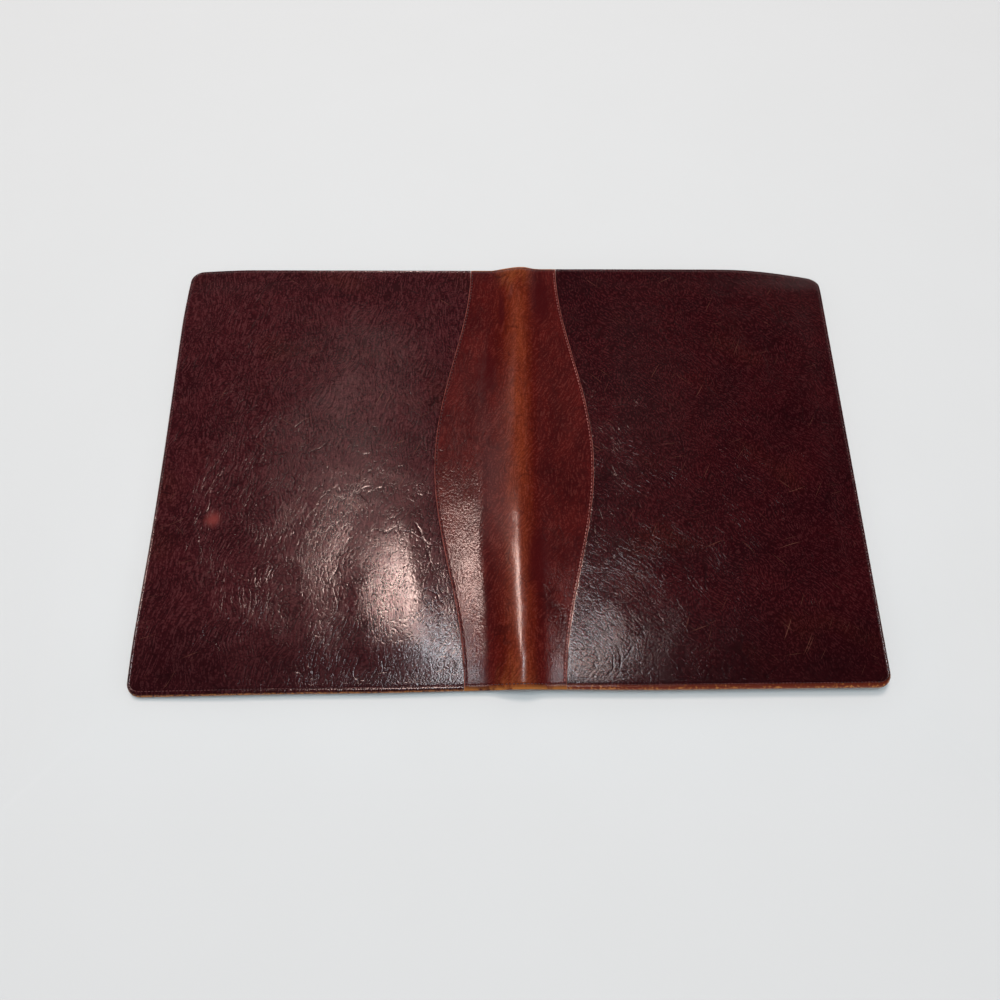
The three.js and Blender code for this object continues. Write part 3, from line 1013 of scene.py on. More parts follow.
def edge_run(profile: tuple[tuple[float, ...], ...]) -> Points:
    """Length along the outside of a turned edge, from the core to each of its points."""
    spots = np.array([(CORE, 0.0)] + [(p[0], p[1]) for p in profile])
    return np.cumsum(np.hypot(*np.diff(spots, axis=0).T))


@dataclass(frozen=True)
class CoverNet:
    """The net of one cover: a grid inside, and rings round the head, outer and tail edges."""

    side: Side
    outer: float = HALF_WIDTH
    tail: float = HALF_LENGTH
    row_step: float = ROW_STEP
    corner_steps: int = 9

    def rows(self) -> Points:
        """Places of the grid's rows along Y."""
        reach = self.tail - CORE
        return np.linspace(-reach, reach, int(round(2.0 * reach / self.row_step)) + 1)

    def around(self, values: Points) -> Points:
        """Values of a grid along its head, outer and tail edges, repeated in the two corners."""
        spokes = self.corner_steps - 1
        return np.concatenate([
            values[0], np.repeat(values[0, -1], spokes), values[:, -1],
            np.repeat(values[-1, -1], spokes), values[-1, ::-1]])

    def spread(self, sheet: Sheet, columns: Points, top: Points, under: Points,
               profile: tuple[tuple[float, ...], ...], drop: float,
               seam: Points | float = FAR) -> None:
        """Fills a sheet with the grid and its rings.

        Args:
            sheet: The sheet to fill.
            columns: Distances from the spine's middle, one row for each row of the grid.
            top: Heights of the outside, in the shape of columns.
            under: Heights of the inside, in the same shape.
            profile: Insets and drops of the rings, outside and inside.
            drop: How far the inside's drops are measured below the outside.
            seam: Distance from the ogee seam, in the same shape.
        """
        sign = self.side.value
        rows = np.broadcast_to(self.rows()[:, None], columns.shape)
        run = edge_run(profile)
        apex = run[min(EDGE_APEX, len(run) - 1)]
        inside = np.minimum(self.tail - abs(rows), self.outer - columns) - CORE
        grid = sheet.points(
            joined(sign * columns, rows, top), joined(sign * columns, rows, under),
            joined(sign * columns, rows), apex + inside, seam)
        sheet.net(grid)
        path, level = self.around(grid), self.around(top)
        base = joined(self.around(columns), self.around(rows))
        marks = FAR if isinstance(seam, float) else self.around(seam)
        height, width = columns.shape
        fan = np.linspace(0.0, math.pi / 2.0, self.corner_steps + 1)[1:-1]
        way = np.concatenate([
            np.tile([0.0, -1.0], (width, 1)), joined(np.sin(fan), -np.cos(fan)),
            np.tile([1.0, 0.0], (height, 1)), joined(np.cos(fan), np.sin(fan)),
            np.tile([0.0, 1.0], (width, 1))])
        at_head = np.clip(-way[:, 1], 0.0, 1.0)[:, None] ** 2
        head = HEAD_EDGE if profile is TURNED_EDGE else profile
        mixed = np.array(profile) + at_head[:, :, None] * (np.array(head) - np.array(profile))
        for k in range(len(profile)):
            inset, fall, inner_inset, inner_fall = mixed[:, k].T
            spots = self.ring(base, way, inset)
            inner = self.ring(base, way, inner_inset)
            flat = base + way * run[k]
            ring = sheet.points(
                joined(sign * spots[:, 0], spots[:, 1], level - fall),
                joined(sign * inner[:, 0], inner[:, 1], level - inner_fall - drop),
                joined(sign * flat[:, 0], flat[:, 1]), apex - run[k], marks)
            sheet.net(np.stack([ring, path]))
            path = ring

    def ring(self, base: Points, way: Points, inset: Points) -> Points:
        """Points of one ring round three edges, mitred where it lies inside the corners."""
        over = (inset - CORE)[:, None]
        mitre = (abs(way).max(axis=1) < 0.999)[:, None] & (over > 0.0)
        spots = np.where(mitre, base - np.sign(base) * over, base - way * over)
        reach = np.maximum(self.outer - inset, base[:, 0] * (inset <= CORE))
        spots[:, 0] = np.minimum(spots[:, 0], reach)
        limit = np.maximum(self.tail - inset, 0.0)
        spots[:, 1] = np.clip(spots[:, 1], -limit, limit)
        return spots


@dataclass(frozen=True)
class CoverSkin:
    """Leather of one cover, turned round its board and running under the spine leather."""

    side: Side
    drape: Drape
    lap: float = 10.0
    stop: float = 0.15
    front_seam: tuple[float, float] = (0.4, 0.5)
    back_seam: tuple[float, float] = (0.7, 0.25)
    thick: float = 1.1
    waves: tuple[tuple[float, float, float], ...] = (
        (0.4, 70.0, 1.7), (0.18, 30.0, 5.1), (0.06, 12.0, 6.6))
    fill: float = 0.8
    fill_run: float = 15.0
    bulge: tuple[float, float, float, float, float] = (-76.0, -90.0, 34.0, 56.0, 1.05)
    columns: int = 84

    def tongue(self, y: Points) -> Points:
        """How far the hide runs under the spine leather; it stops short of the ends."""
        return (self.lap + self.stop) * smooth(abs(y), 148.0, 132.0) - self.stop

    def build(self, material: bpy.types.Material) -> bpy.types.Object:
        """Makes the skin and puts it in place of its solid."""
        net = CoverNet(self.side)
        rows = net.rows()
        seam = SpineShape().reach(rows)[:, None]
        start = seam - self.tongue(rows)[:, None]
        edge = np.maximum(seam, start)
        near = start + (edge - start) * np.linspace(0.0, 1.0, 5)[:-1]
        share = np.linspace(0.0, 1.0, self.columns) ** 1.12
        columns = np.hstack([near, edge + (net.outer - CORE - edge) * share])
        y = np.broadcast_to(rows[:, None], columns.shape)
        past = columns - seam
        x = self.side.value * columns
        inset = np.minimum(net.tail - abs(y), net.outer - columns)
        calm = smooth(inset, 9.0, 26.0) * smooth(past, 0.0, 20.0)
        top = self.side.top + (lumps(x, y, self.waves) + 0.1) * calm
        u, v, wide, tall, height = self.bulge
        full = height * np.exp(-(((x - u) / wide) ** 2 + ((y - v) / tall) ** 2) ** 2)
        inland = smooth(net.tail - abs(y), 5.0, 20.0)
        fill = smooth(past, -2.0, 40.0)
        if self.side is Side.FRONT:
            fill = 1.0 - np.exp(-np.maximum(past, 0.0) / self.fill_run)
        full = smooth(inset, 3.5, 30.0) * (full * smooth(past, -2.0, 25.0) + self.fill * fill)
        dip, skive = self.front_seam if self.side is Side.FRONT else self.back_seam
        top = top - inland * (dip * smooth(past, 0.2, -1.2)
                              + skive * smooth(-past, 1.5, self.lap))
        under = full + self.side.top - self.thick
        top = top + full
        sheet = Sheet(self.drape, Layer.SKIN)
        net.spread(sheet, columns, top, under, TURNED_EDGE, 0.0, past)
        made = sheet.build(f"{self.side.label}_cover_leather", material)
        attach(made, f"{self.side.label}_cover")
        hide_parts(f"{self.side.label}_cover_hide")
        return made


# The turned edge of the spine leather at the seam: distance from the seam, and drop
LAPPED_EDGE = (
    (0.0, 1.0), (0.0, 0.55), (0.12, 0.25), (0.45, 0.03), (0.9, 0.0), (1.15, 0.1), (1.35, 0.16),
    (1.55, 0.1), (1.85, 0.0), (2.6, 0.0), (5.0, 0.0), (8.0, 0.0), (11.0, 0.0), (14.0, 0.0))


@dataclass(frozen=True)
class SpinePanel:
    """Spine leather: two wings that lap over the covers, and the ridge between them."""

    drape: Drape
    shape: RidgeShape = RidgeShape()
    split: float = -7.0
    ridge_end: float = 17.0
    wing_columns: int = 8
    column_step: float = 1.2
    thick: float = 1.1
    ridge_depth: float = 1.9
    lip_depth: float = 1.7
    waves: tuple[tuple[float, float, float], ...] = ((0.16, 24.0, 3.3), (0.06, 9.0, 7.7))
    lap_rise: tuple[float, float] = (0.75, 0.45)
    wing_rise: tuple[float, float] = (1.0, 1.25)
    wing_run: tuple[float, float] = (3.0, 31.0)
    head_fall: float = 0.5
    tail: float = HALF_LENGTH
    bend: tuple[float, float] = (7.0, 15.5)

    def row_table(self) -> Points:
        """Rows from the lip under the head, over the outside, to the lip under the tail.

        Returns:
            For each row: Y and drop of the outside, Y and drop of the inside, Y on the flat
            leather, distance from the edge's apex, and share of the lap's rise.
        """
        run = edge_run(TURNED_EDGE)
        apex = run[EDGE_APEX]
        reach = self.tail - CORE
        rims = []
        for profile in (HEAD_EDGE, TURNED_EDGE):
            table = np.array(profile)
            inset, fall, inner_inset, inner_fall = table.T
            lift = rim_lift(inset) * (np.arange(len(table)) <= EDGE_APEX)
            rims.append(np.column_stack([
                self.tail - inset, fall, self.tail - inner_inset, inner_fall,
                reach + run, apex - run, lift]))
        steps = int(round(2.0 * reach / ROW_STEP)) + 1
        y = np.linspace(-reach, reach, steps)
        plain = np.zeros(steps)
        middle = np.column_stack([y, plain, y, plain + self.thick, y,
                                  apex + reach - abs(y), plain + 1.0])
        head = rims[0][::-1] * np.array([-1.0, 1.0, -1.0, 1.0, -1.0, 1.0, 1.0])
        return np.vstack([head, middle, rims[1]])

    def rise(self, x: Points, y: Points) -> Points:
        """Height of the lapped wings over the covers, climbing from the seams to the ridge."""
        step = self.shape.step(x)
        lap, climb = (a + (b - a) * step for a, b in (self.lap_rise, self.wing_rise))
        off = self.shape.reach(y) - abs(x)
        fall = self.head_fall * smooth(abs(y), 138.0, 156.0) * smooth(off, 2.0, 12.0)
        return lap + climb * smooth(off, *self.wing_run) - fall

    def half(self, side: Side, y: Points) -> tuple[Points, ...]:
        """Columns of one half, from the front seam to the back seam.

        Args:
            side: Which half.
            y: Y of each row.

        Returns:
            X and rise of the outside, X and rise of the inside, and distance from the seam,
            each a grid.
        """
        sign = side.value
        seam = self.shape.reach(y)[:, None]
        laps = np.array(LAPPED_EDGE)[::-1]
        inner_end = self.ridge_end if side is Side.BACK else -self.ridge_end
        count = int(round(abs(inner_end - self.split) / self.column_step)) + 1
        ridge = np.broadcast_to(np.linspace(self.split, inner_end, count), (len(y), count))
        last = sign * (seam - laps[0, 0])
        share = np.linspace(0.0, 1.0, self.wing_columns + 2)[1:-1]
        wing = inner_end + (last - inner_end) * share
        outer = np.hstack([ridge, wing, sign * (seam - laps[:, 0])])
        inner = np.hstack([ridge, wing, sign * (seam - np.maximum(laps[:, 0], 0.1))])
        off = seam - abs(outer)
        rise = self.rise(outer, y[:, None])
        lap = self.lap_rise[side is Side.BACK]
        plain = np.zeros(count + self.wing_columns)
        fall = np.concatenate([plain, laps[:, 1]]) * (lap + 0.1)
        return outer, rise - fall, inner, rise, off - fall

    def build(self, material: bpy.types.Material) -> list[bpy.types.Object]:
        """Makes the two halves."""
        table = self.row_table()
        y, fall, inner_y, inner_fall, flat_y, rim, lift = (c[:, None] for c in table.T)
        pieces = []
        for side in Side:
            x, rise, inner_x, inner_rise, off = self.half(side, table[:, 0])
            wide = np.broadcast_to(y, x.shape)
            body = smooth(abs(x), *RIDGE_SIDE)
            depth = self.ridge_depth + (EDGE_DEPTH - self.ridge_depth) * body
            sink = np.where(fall > 0.5, fall * depth / EDGE_DEPTH, fall)
            top = self.shape.top(x, wide)
            calm = smooth(self.tail - abs(wide), 6.0, 22.0) * smooth(off, 3.0, 16.0)
            z = top + rise * lift - sink + lumps(x, wide, self.waves) * calm
            inner_sink = self.thick + (inner_fall - self.thick) * (depth - self.lip_depth) / (
                EDGE_DEPTH - self.lip_depth)
            inner_z = self.shape.top(inner_x, wide) - inner_sink + inner_rise * lift
            sheet = Sheet(self.drape, Layer.SKIN)
            sheet.net(sheet.points(
                joined(x, wide, z), joined(inner_x, inner_y, inner_z), joined(x, flat_y),
                rim, off))
            made = sheet.build(f"{side.label}_spine_leather", material)
            self.bend_piece(made, side)
            pieces.append(made)
        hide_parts("front_spine_wing")
        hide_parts("back_spine_wing", "spine_ridge")
        return pieces

    def bend_piece(self, piece: bpy.types.Object, side: Side) -> None:
        """Bakes a piece's placement into its mesh, the same way for either side."""
        if side is Side.FRONT:
            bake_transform(piece)
        else:
            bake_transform(piece)


@dataclass(frozen=True)
class CoverCore:
    """Grey board inside one cover's leather."""

    side: Side
    drape: Drape
    start: float = 13.949
    thick: float = 1.3
    depth: float = 1.2
    columns: int = 24
    edge: tuple[tuple[float, ...], ...] = (
        (5.0, 0.0, 5.0, 0.0), (1.8, 0.0, 1.8, 0.0), (1.4, 0.15, 1.4, -0.15))

    def build(self, material: bpy.types.Material) -> bpy.types.Object:
        """Makes the board and puts it in place of its solid."""
        net = CoverNet(self.side, row_step=10.0)
        columns = np.linspace(self.start, net.outer - CORE, self.columns)
        columns = np.broadcast_to(columns, (len(net.rows()), self.columns))
        top = np.full(columns.shape, self.side.top - self.depth)
        sheet = Sheet(self.drape, Layer.INSIDE)
        net.spread(sheet, columns, top, top - self.thick, self.edge, self.thick)
        made = sheet.build(f"{self.side.label}_cover_stiffener", material)
        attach(made, f"{self.side.label}_cover")
        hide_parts(f"{self.side.label}_cover_board")
        return made


@dataclass(frozen=True)
class CoverLining:
    """Woven lining of one cover, running on under the ridge to the lining of the other."""

    side: Side
    panel: SpinePanel
    thick: float = 0.6
    course: LiningCourse = LiningCourse()
    near_end: float = 20.0
    near_step: float = 1.3
    far_columns: int = 46
    cover_depth: float = 3.3
    ridge_depth: float = 2.0
    edge: tuple[tuple[float, ...], ...] = (
        (6.0, 0.0, 6.0, 0.0), (3.0, 0.0, 3.0, 0.0), (2.6, 0.08, 2.6, -0.08),
        (2.5, 0.22, 2.5, -0.22))

    def build(self, material: bpy.types.Material) -> bpy.types.Object:
        """Makes the lining and puts it in place of its solids."""
        net = CoverNet(self.side, row_step=5.0)
        sign = self.side.value
        start = sign * self.panel.split
        near = np.linspace(start, self.near_end, int((self.near_end - start) / self.near_step))
        far = np.linspace(self.near_end, net.outer - CORE, self.far_columns)[1:]
        columns = np.concatenate([near, far])
        columns = np.broadcast_to(columns, (len(net.rows()), len(columns)))
        depth = self.ridge_depth + (self.cover_depth - self.ridge_depth) * smooth(
            abs(columns), *RIDGE_SIDE)
        top = self.course.top(sign * columns) - depth
        sheet = Sheet(self.panel.drape, Layer.LINING)
        net.spread(sheet, columns, top, top - self.thick, self.edge, self.thick)
        made = sheet.build(f"{self.side.label}_lining_cloth", material)
        arc = float(np.hypot(np.diff(columns[0]), np.diff(top[0])).sum())
        width = (arc + CORE - self.edge[-1][0]) * MM
        length = 2.0 * (net.tail - self.edge[-1][0]) * MM
        self.panel.bend_piece(made, self.side)
        nodes = [f"{self.side.label}_cover_lining"]
        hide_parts(*(nodes + ["spine_lining"] * (self.side is Side.BACK)))
        return made


# The hem of a pocket's mouth: distance from the mouth, and dip of its face
POCKET_HEM = (
    (0.0, 0.35), (0.12, 0.12), (0.5, 0.02), (1.2, 0.0), (2.2, 0.02), (2.6, 0.12), (3.0, 0.12),
    (3.4, 0.02), (4.4, 0.0), (5.6, 0.0), (6.4, 0.0), (9.0, 0.0))


@dataclass(frozen=True)
class PocketPanel:
    """Leather pocket panel with a scooped, hemmed mouth and its three welts."""

    side: Side
    drape: Drape
    node: str
    welts: str
    scoop: float
    thick: float = 0.7
    near: float = 12.949
    far: float = 240.149
    tail: float = 156.5
    corner: float = 6.5
    hem_width: float = 6.0
    hem_extra: float = 0.15
    lip: float = 0.3
    rows: int = 25

    def closed_end(self, reach: Points) -> Points:
        """Y of the sewn tail edge, with its round outer corner."""
        over = np.clip(reach - (self.far - self.corner), 0.0, self.corner)
        return self.tail - self.corner + np.sqrt(self.corner ** 2 - over ** 2)

    def columns(self) -> Points:
        """Distances from the spine's middle, closer together at the two sides."""
        over = self.corner * np.sin(np.linspace(0.0, math.pi / 2.0, 7))
        return np.concatenate([
            [self.near, self.near + 1.0], np.linspace(16.0, self.far - self.corner - 1.0, 40),
            self.far - self.corner + over])

    def build(self, material: bpy.types.Material) -> list[bpy.types.Object]:
        """Makes the panel and its welts and puts them in place of their solids."""
        low, _ = (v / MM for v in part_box(self.node))
        across = self.columns()
        middle, half = (self.near + self.far) / 2.0, (self.far - self.near) / 2.0
        mouth = low.y + self.scoop * (1.0 - ((across - middle) / half) ** 2)
        hem, face = np.array(POCKET_HEM).T
        share = np.linspace(0.0, 1.0, self.rows + 1)[1:]
        end = self.closed_end(across)
        y = np.vstack([mouth + d for d in hem] + [
            mouth + hem[-1] + (end - mouth - hem[-1]) * s for s in share])
        x = self.side.value * across
        plain = np.zeros(self.rows)
        dip = np.concatenate([face, plain])[:, None]
        back = np.concatenate([hem < self.hem_width, plain])[:, None]
        back = back * self.hem_extra + self.thick - (dip > self.lip) * self.lip
        sheet = Sheet(self.drape, Layer.INSIDE)
        sheet.net(sheet.points(
            joined(x, y, low.z + dip), joined(x, y, low.z + back), joined(x, y)))
        made = sheet.build(f"{self.node}_leather", material)
        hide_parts(self.node)
        return [made] + [self.welt(part, material) for part in ("spine", "outer", "tail")]

    def welt(self, part: str, material: bpy.types.Material) -> bpy.types.Object:
        """Makes one of the strips that are sewn in between panel and lining."""
        node = f"{self.welts}_welt_{part}"
        low, high = (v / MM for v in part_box(node))
        reach = sorted((abs(low.x), abs(high.x)))
        inside = self.columns()
        inside = inside[(inside > reach[0] + 0.1) & (inside < reach[1] - 0.1)]
        across = np.concatenate([[reach[0]], inside, [reach[1]]])
        end = np.minimum(self.closed_end(across), high.y)
        share = np.linspace(0.0, 1.0, 30 if part != "tail" else 5)[:, None]
        y = low.y + (end - low.y) * share
        x = self.side.value * across
        sheet = Sheet(self.drape, Layer.INSIDE)
        sheet.net(sheet.points(joined(x, y, low.z), joined(x, y, high.z), joined(x, y)))
        made = sheet.build(f"{node}_leather", material)
        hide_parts(node)
        return made


# The turned edge of the card pocket: distance from the edge, lift of its face, and its thickness
CARD_HEM = (
    (0.0, 0.75, 1.2), (0.3, 0.45, 1.2), (0.9, 0.15, 1.2), (2.0, 0.03, 1.2), (4.6, 0.0, 1.2),
    (5.4, 0.0, 0.7))


@dataclass(frozen=True)
class CardPocket:
    """Small card pocket whose three edges are turned up to the lining."""

    drape: Drape
    node: str = "card_pocket"
    scoop: float = 5.0
    radius: float = 5.0
    thick: float = 0.7
    inner: float = 9.0
    columns: int = 22
    rows: int = 18

    def build(self, material: bpy.types.Material) -> bpy.types.Object:
        """Makes the pocket and puts it in place of its solid."""
        low, high = (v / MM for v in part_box(self.node))
        middle, half = (low.x + high.x) / 2.0, (high.x - low.x) / 2.0
        turn, lift, roof = np.array(CARD_HEM).T
        plain = np.linspace(self.inner, 2.0 * half - self.inner, self.columns)
        across = np.concatenate([turn, plain, 2.0 * half - turn[::-1]]) - half
        over = np.clip(abs(across) - (half - self.radius), 0.0, self.radius)
        end = high.y - self.radius + np.sqrt(self.radius ** 2 - over ** 2)
        mouth = low.y + self.scoop * (1.0 - (across / half) ** 2)
        side_lift = np.concatenate([lift, np.zeros(self.columns), lift[::-1]])
        side_roof = np.concatenate([roof, np.full(self.columns, self.thick), roof[::-1]])
        share = np.linspace(0.0, 1.0, self.rows)[:, None]
        y = mouth + (end - turn[-1] - mouth) * share
        y = np.vstack([y] + [end - d for d in turn[::-1][1:]])
        up = np.concatenate([np.zeros(self.rows), lift[::-1][1:]])[:, None]
        room = np.concatenate([np.full(self.rows, self.thick), roof[::-1][1:]])[:, None]
        x = middle + across
        sheet = Sheet(self.drape, Layer.INSIDE)
        sheet.net(sheet.points(
            joined(x, y, low.z + np.maximum(side_lift, up)),
            joined(x, y, low.z + np.maximum(side_roof, room)), joined(x, y)))
        made = sheet.build("card_pocket_leather", material)
        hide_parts(self.node)
        return made


@dataclass
class Stitches:
    """Stitches of one run of sewing, gathered into one mesh."""

    pitch: float = 2.2
    length: float = 1.7
    radius: float = 0.27
    sides: int = 6
    sink: float = 0.2
    places: list[Points] = field(default_factory=list)
    faces: list[tuple[int, ...]] = field(default_factory=list)

    def bead(self) -> tuple[Points, list[tuple[int, ...]]]:
        """One stitch: places along, across and up, and its faces."""
        rings = ((-0.92, 0.6), (-0.5, 1.0), (0.5, 1.0), (0.92, 0.6))
        turns = np.arange(self.sides) * 2.0 * math.pi / self.sides
        rows = [(-1.0, 0.0, 0.0)]
        for along, girth in rings:
            rows += [(along, math.cos(t) * girth, math.sin(t) * girth) for t in turns]
        rows.append((1.0, 0.0, 0.0))
        spots = np.array(rows) * (self.length / 2.0, self.radius, self.radius)
        spots[:, 2] -= self.sink * np.array([r[0] ** 2 for r in rows])
        faces = []
        for i in range(self.sides):
            j = (i + 1) % self.sides
            faces.append((0, 1 + j, 1 + i))
            for k in range(len(rings) - 1):
                a = 1 + k * self.sides
                b = a + self.sides
                faces.append((a + i, a + j, b + j, b + i))
            a = 1 + (len(rings) - 1) * self.sides
            faces.append((a + i, a + j, len(rows) - 1))
        return spots, faces

    def run(self, path: Points) -> None:
        """Sews along a path of laid points."""
        legs = np.linalg.norm(np.diff(path, axis=0), axis=1)
        gone = np.concatenate([[0.0], np.cumsum(legs)])
        count = max(1, int(gone[-1] / self.pitch))
        at = (np.arange(count) + 0.5) * gone[-1] / count
        def place(distance: Points) -> Points:
            """Points at these distances along the path."""
            return np.column_stack([np.interp(distance, gone, path[:, i]) for i in range(3)])
        centre = place(at)
        ahead = place(at + 0.5) - place(at - 0.5)
        ahead /= np.linalg.norm(ahead, axis=1)[:, None]
        across = np.cross((0.0, 0.0, 1.0), ahead)
        across /= np.linalg.norm(across, axis=1)[:, None]
        up = np.cross(ahead, across)
        spots, faces = self.bead()
        start = sum(len(p) for p in self.places)
        beads = (centre[:, None] + spots[None, :, :1] * ahead[:, None]
                 + spots[None, :, 1:2] * across[:, None] + spots[None, :, 2:] * up[:, None])
        self.places.append(beads.reshape(-1, 3))
        for k in range(count):
            shift = start + k * len(spots)
            self.faces += [tuple(i + shift for i in f) for f in faces]

    def build(self, name: str, material: bpy.types.Material) -> bpy.types.Object:
        """Makes the mesh of all stitches sewn so far."""
        places = np.concatenate(self.places)
        made = new_piece(name, places, self.faces, material, 75.0)
        flat = made.data.attributes.new("flat", "FLOAT_VECTOR", "POINT")
        flat.data.foreach_set("vector", places.astype(np.float32).ravel())
        return made


@dataclass(frozen=True)
class Sewing:
    """The sewing that shows on the outside: round the covers and along the ogee seams."""

    drape: Drape
    panel: SpinePanel
    seam_inset: float = 1.4
    seam_end: float = 154.5
    corner_gap: float = 0.6

    def edge_path(self, side: Side) -> Points:
        """Path of the edge sewing round one cover, from seam to seam."""
        net = CoverNet(side)
        turn = np.linspace(0.0, math.pi / 2.0, 12)
        radius = CORE - STITCH_INSET
        low = CORE - HEAD_STITCH_INSET
        ux, vy = net.outer - CORE, net.tail - CORE
        line = np.linspace(self.panel.shape.end_reach + self.corner_gap, ux, 60)
        rows = np.linspace(-vy, vy, 80)
        swing = radius + (low - radius) * np.cos(turn) ** 2
        x, y = np.vstack([
            joined(line, -vy - low),
            joined(ux + swing * np.sin(turn), -vy - swing * np.cos(turn)),
            joined(ux + radius, rows),
            joined(ux + radius * np.cos(turn), vy + radius * np.sin(turn)),
            joined(line[::-1], vy + radius)]).T
        return self.drape.lay(joined(side.value * x, y, side.top - STITCH_DROP), Layer.SKIN)

    def seam_path(self, side: Side) -> Points:
        """Path of the sewing along one ogee seam."""
        y = np.linspace(-self.seam_end, self.seam_end, 160)
        x = side.value * (self.panel.shape.reach(y) - self.seam_inset)
        rise = self.panel.rise(x, y) * rim_lift(HALF_LENGTH - abs(y))
        return self.drape.lay(joined(x, y, side.top + rise), Layer.SKIN)

    def end_path(self, side: Side, end: int) -> Points:
        """Path of the edge sewing across one half of the spine's head or tail."""
        reach = self.panel.shape.end_reach - self.corner_gap
        x = np.linspace(self.panel.split + side.value * 0.3, side.value * reach, 80)
        inset = STITCH_INSET if end > 0 else HEAD_STITCH_INSET
        y = np.full_like(x, end * (HALF_LENGTH - inset))
        z = self.panel.shape.top(x, y) - STITCH_DROP + self.panel.rise(x, y) * rim_lift(inset)
        return self.drape.lay(joined(x, y, z), Layer.SKIN)

    def build(self, finishes: Finishes) -> None:
        """Sews both covers, both seams and the spine's ends."""
        for side in Side:
            cover = f"{side.label}_cover"
            edge = Stitches()
            edge.run(self.edge_path(side))
            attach(edge.build(f"{cover}_edge_stitching", finishes.edge_thread), cover)
            seam = Stitches(pitch=2.6, length=1.8, radius=0.33)
            seam.run(self.seam_path(side))
            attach(seam.build(f"{side.label}_seam_stitching", finishes.seam_threads[side]), cover)
            ends = Stitches()
            ends.run(self.end_path(side, -1))
            ends.run(self.end_path(side, 1))
            made = ends.build(f"{side.label}_spine_stitching", finishes.edge_thread)
            self.panel.bend_piece(made, side)


@dataclass(frozen=True)
class WritingPad:
    """Writing pad: a backing board, a stack of loose sheets and the head binding."""

    sheet_gap: float = 0.02
    sheets: int = 13
    jitter: float = 0.25

    def stray(self, share: float) -> float:
        """How far one edge of a sheet lies inside the stack, for a share from -1 to 1."""
        return self.jitter * (0.5 + 0.5 * share)

    def build(self, finishes: Finishes) -> bpy.types.Object:
        """Makes the sheets, and gives the board and binding their finish."""
        for node, material in (("pad_backing", finishes.backing),
                               ("pad_head_binding", finishes.binding)):
            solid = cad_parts[node].data
            solid.materials.clear()
            solid.materials.append(material)
        low, high = (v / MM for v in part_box("pad_sheets"))
        thick = (high.z - low.z) / self.sheets
        places, faces = [], []
        for k in range(self.sheets):
            left = low.x + self.stray(math.sin(2.3 * k))
            right = high.x - self.stray(math.cos(1.7 * k))
            tail = high.y - self.stray(math.sin(3.1 * k + 1.0))
            floor, roof = low.z + thick * k, low.z + thick * (k + 1) - self.sheet_gap
            start = len(places)
            for z in (floor, roof):
                places += [(left, low.y, z), (right, low.y, z), (right, tail, z),
                           (left, tail, z)]
            faces += [tuple(start + i for i in f) for f in BOX_FACES]
        made = new_piece("pad_sheet_stack", np.array(places), faces, finishes.paper, 30.0)
        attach(made, "writing_pad")
        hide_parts("pad_sheets")
        return made


@dataclass(frozen=True)
class Lamp:
    """One soft lamp."""

    name: str
    place: tuple[float, float, float]
    aim: tuple[float, float, float]
    size: tuple[float, float]
    power: float
    colour: tuple[float, float, float] = (1.0, 1.0, 1.0)
    mirrored: bool = True
    spin: float = 0.0

    def hang(self) -> None:
        """Hangs the lamp in the scene."""
        light = bpy.data.lights.new(self.name, "AREA")
        light.shape = "RECTANGLE"
        light.size, light.size_y = self.size
        light.energy = self.power
        light.color = self.colour
        made = bpy.data.objects.new(self.name, light)
        bpy.context.scene.collection.objects.link(made)
        made.location = self.place
        way = Vector(self.aim) - Vector(self.place)
        spun = Quaternion((0.0, 0.0, 1.0), math.radians(self.spin))
        made.rotation_euler = (way.to_track_quat("-Z", "Y") @ spun).to_euler()
        made.visible_glossy = self.mirrored
        made.visible_camera = False


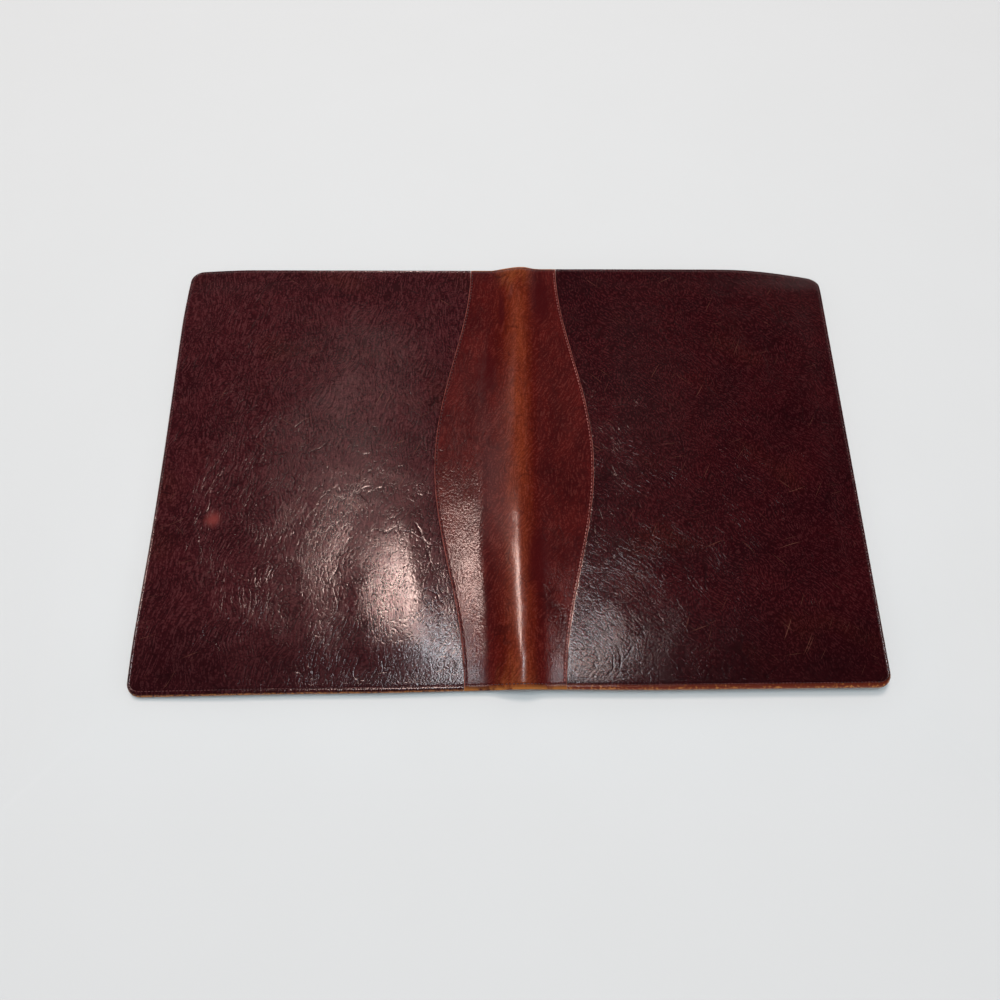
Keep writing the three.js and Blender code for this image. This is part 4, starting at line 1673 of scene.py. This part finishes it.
@dataclass(frozen=True)
class Studio:
    """Floor, soft light and camera."""

    floor_half: float = 20.0
    camera_place: tuple[float, float, float] = (-0.0184, -0.2048, 0.4931)
    camera_turn: tuple[float, float, float] = (19.699, -1.124, -0.679)
    lens: float = 27.036
    horizon: Colour = (0.76, 0.76, 0.765, 1.0)
    overhead: Colour = (0.025, 0.025, 0.027, 1.0)
    lamps: tuple[Lamp, ...] = (
        Lamp("key_light", (-0.21, 0.27, 1.5), (-0.05, -0.05, 0.0), (0.08, 0.24), 4.8,
             (1.0, 0.97, 0.93)),
        Lamp("side_light", (0.21, 0.03, 1.5), (0.05, -0.05, 0.0), (0.12, 0.1), 0.7),
        Lamp("left_glow", (-0.4, 0.71, 1.5), (-0.1, 0.06, 0.0), (0.56, 0.1), 0.42, spin=48.0),
        Lamp("right_glow", (0.42, 0.83, 1.5), (0.1, 0.06, 0.0), (0.45, 0.09), 0.07, spin=-45.0),
        Lamp("front_window", (0.04, -0.1, 1.5), (0.0, -0.1, 0.0), (0.42, 0.07), 5.5,
             (0.62, 0.86, 1.0)),
        Lamp("soft_overhead", (0.0, 0.1, 2.2), (0.0, 0.0, 0.0), (2.6, 2.6), 14.6,
             (0.86, 0.96, 1.0), mirrored=False),
        Lamp("back_light", (-0.2, 1.9, 2.9), (0.0, 0.0, 0.0), (1.2, 0.85), 55.2,
             (1.0, 0.85, 0.79), mirrored=False))

    def build(self, finishes: Finishes) -> None:
        """Sets the stage."""
        half = self.floor_half / MM
        corners = np.array([(-half, -half, 0), (half, -half, 0), (half, half, 0),
                            (-half, half, 0)], float)
        new_piece("table_top", corners, [(0, 1, 2, 3)], finishes.table)
        for lamp in self.lamps:
            lamp.hang()
        self.sky()
        self.camera()
        bpy.context.scene.view_settings.view_transform = "Standard"

    def sky(self) -> None:
        """Dim overhead and as pale as the floor at and below the horizon."""
        world = bpy.data.worlds.new("studio")
        bpy.context.scene.world = world
        world.use_nodes = True
        tree = Nodes(world.node_tree)
        made = tree.node("ShaderNodeTexCoord")
        _, _, up = tree.parts(Val(tree, made.outputs["Generated"]))
        colour = tree.tint(up.step(0.3, 0.8), self.horizon, self.overhead)
        light = tree.node("ShaderNodeBackground", None, {"Color": colour, "Strength": 1.0})
        tree.node("ShaderNodeOutputWorld", None, {0: Val(tree, light.outputs[0])})

    def camera(self) -> None:
        """Sets the camera where the photograph was taken from."""
        data = bpy.data.cameras.new("camera")
        data.sensor_width = 36.0
        data.lens = self.lens
        made = bpy.data.objects.new("camera", data)
        bpy.context.scene.collection.objects.link(made)
        made.location = self.camera_place
        made.rotation_euler = [math.radians(a) for a in self.camera_turn]
        bpy.context.scene.camera = made


def write_sizes() -> None:
    """Brings the scene's placements up to date."""
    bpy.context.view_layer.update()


def main() -> None:
    """Builds the folio around its frame."""
    logging.basicConfig(level=logging.INFO, format="%(name)s: %(message)s")
    finishes = Finishes()
    Studio().build(finishes)
    drape = Drape()
    panel = SpinePanel(drape)
    for side, skin in ((Side.FRONT, finishes.front_skin), (Side.BACK, finishes.back_skin)):
        CoverSkin(side, drape).build(skin)
        CoverCore(side, drape).build(finishes.board)
        CoverLining(side, panel).build(finishes.lining)
    panel.build(finishes.spine_skin)
    Sewing(drape, panel).build(finishes)
    document = PocketPanel(Side.FRONT, drape, "document_pocket", "document", 12.0)
    pad_holder = PocketPanel(Side.BACK, drape, "pad_panel", "pad", 8.0)
    for pocket in (document, pad_holder):
        for piece in pocket.build(finishes.pocket):
            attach(piece, f"{pocket.side.label}_cover")
    card = CardPocket(drape).build(finishes.pocket)
    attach(card, "front_cover")
    WritingPad().build(finishes)
    write_sizes()


if __name__ == "__main__":
    main()
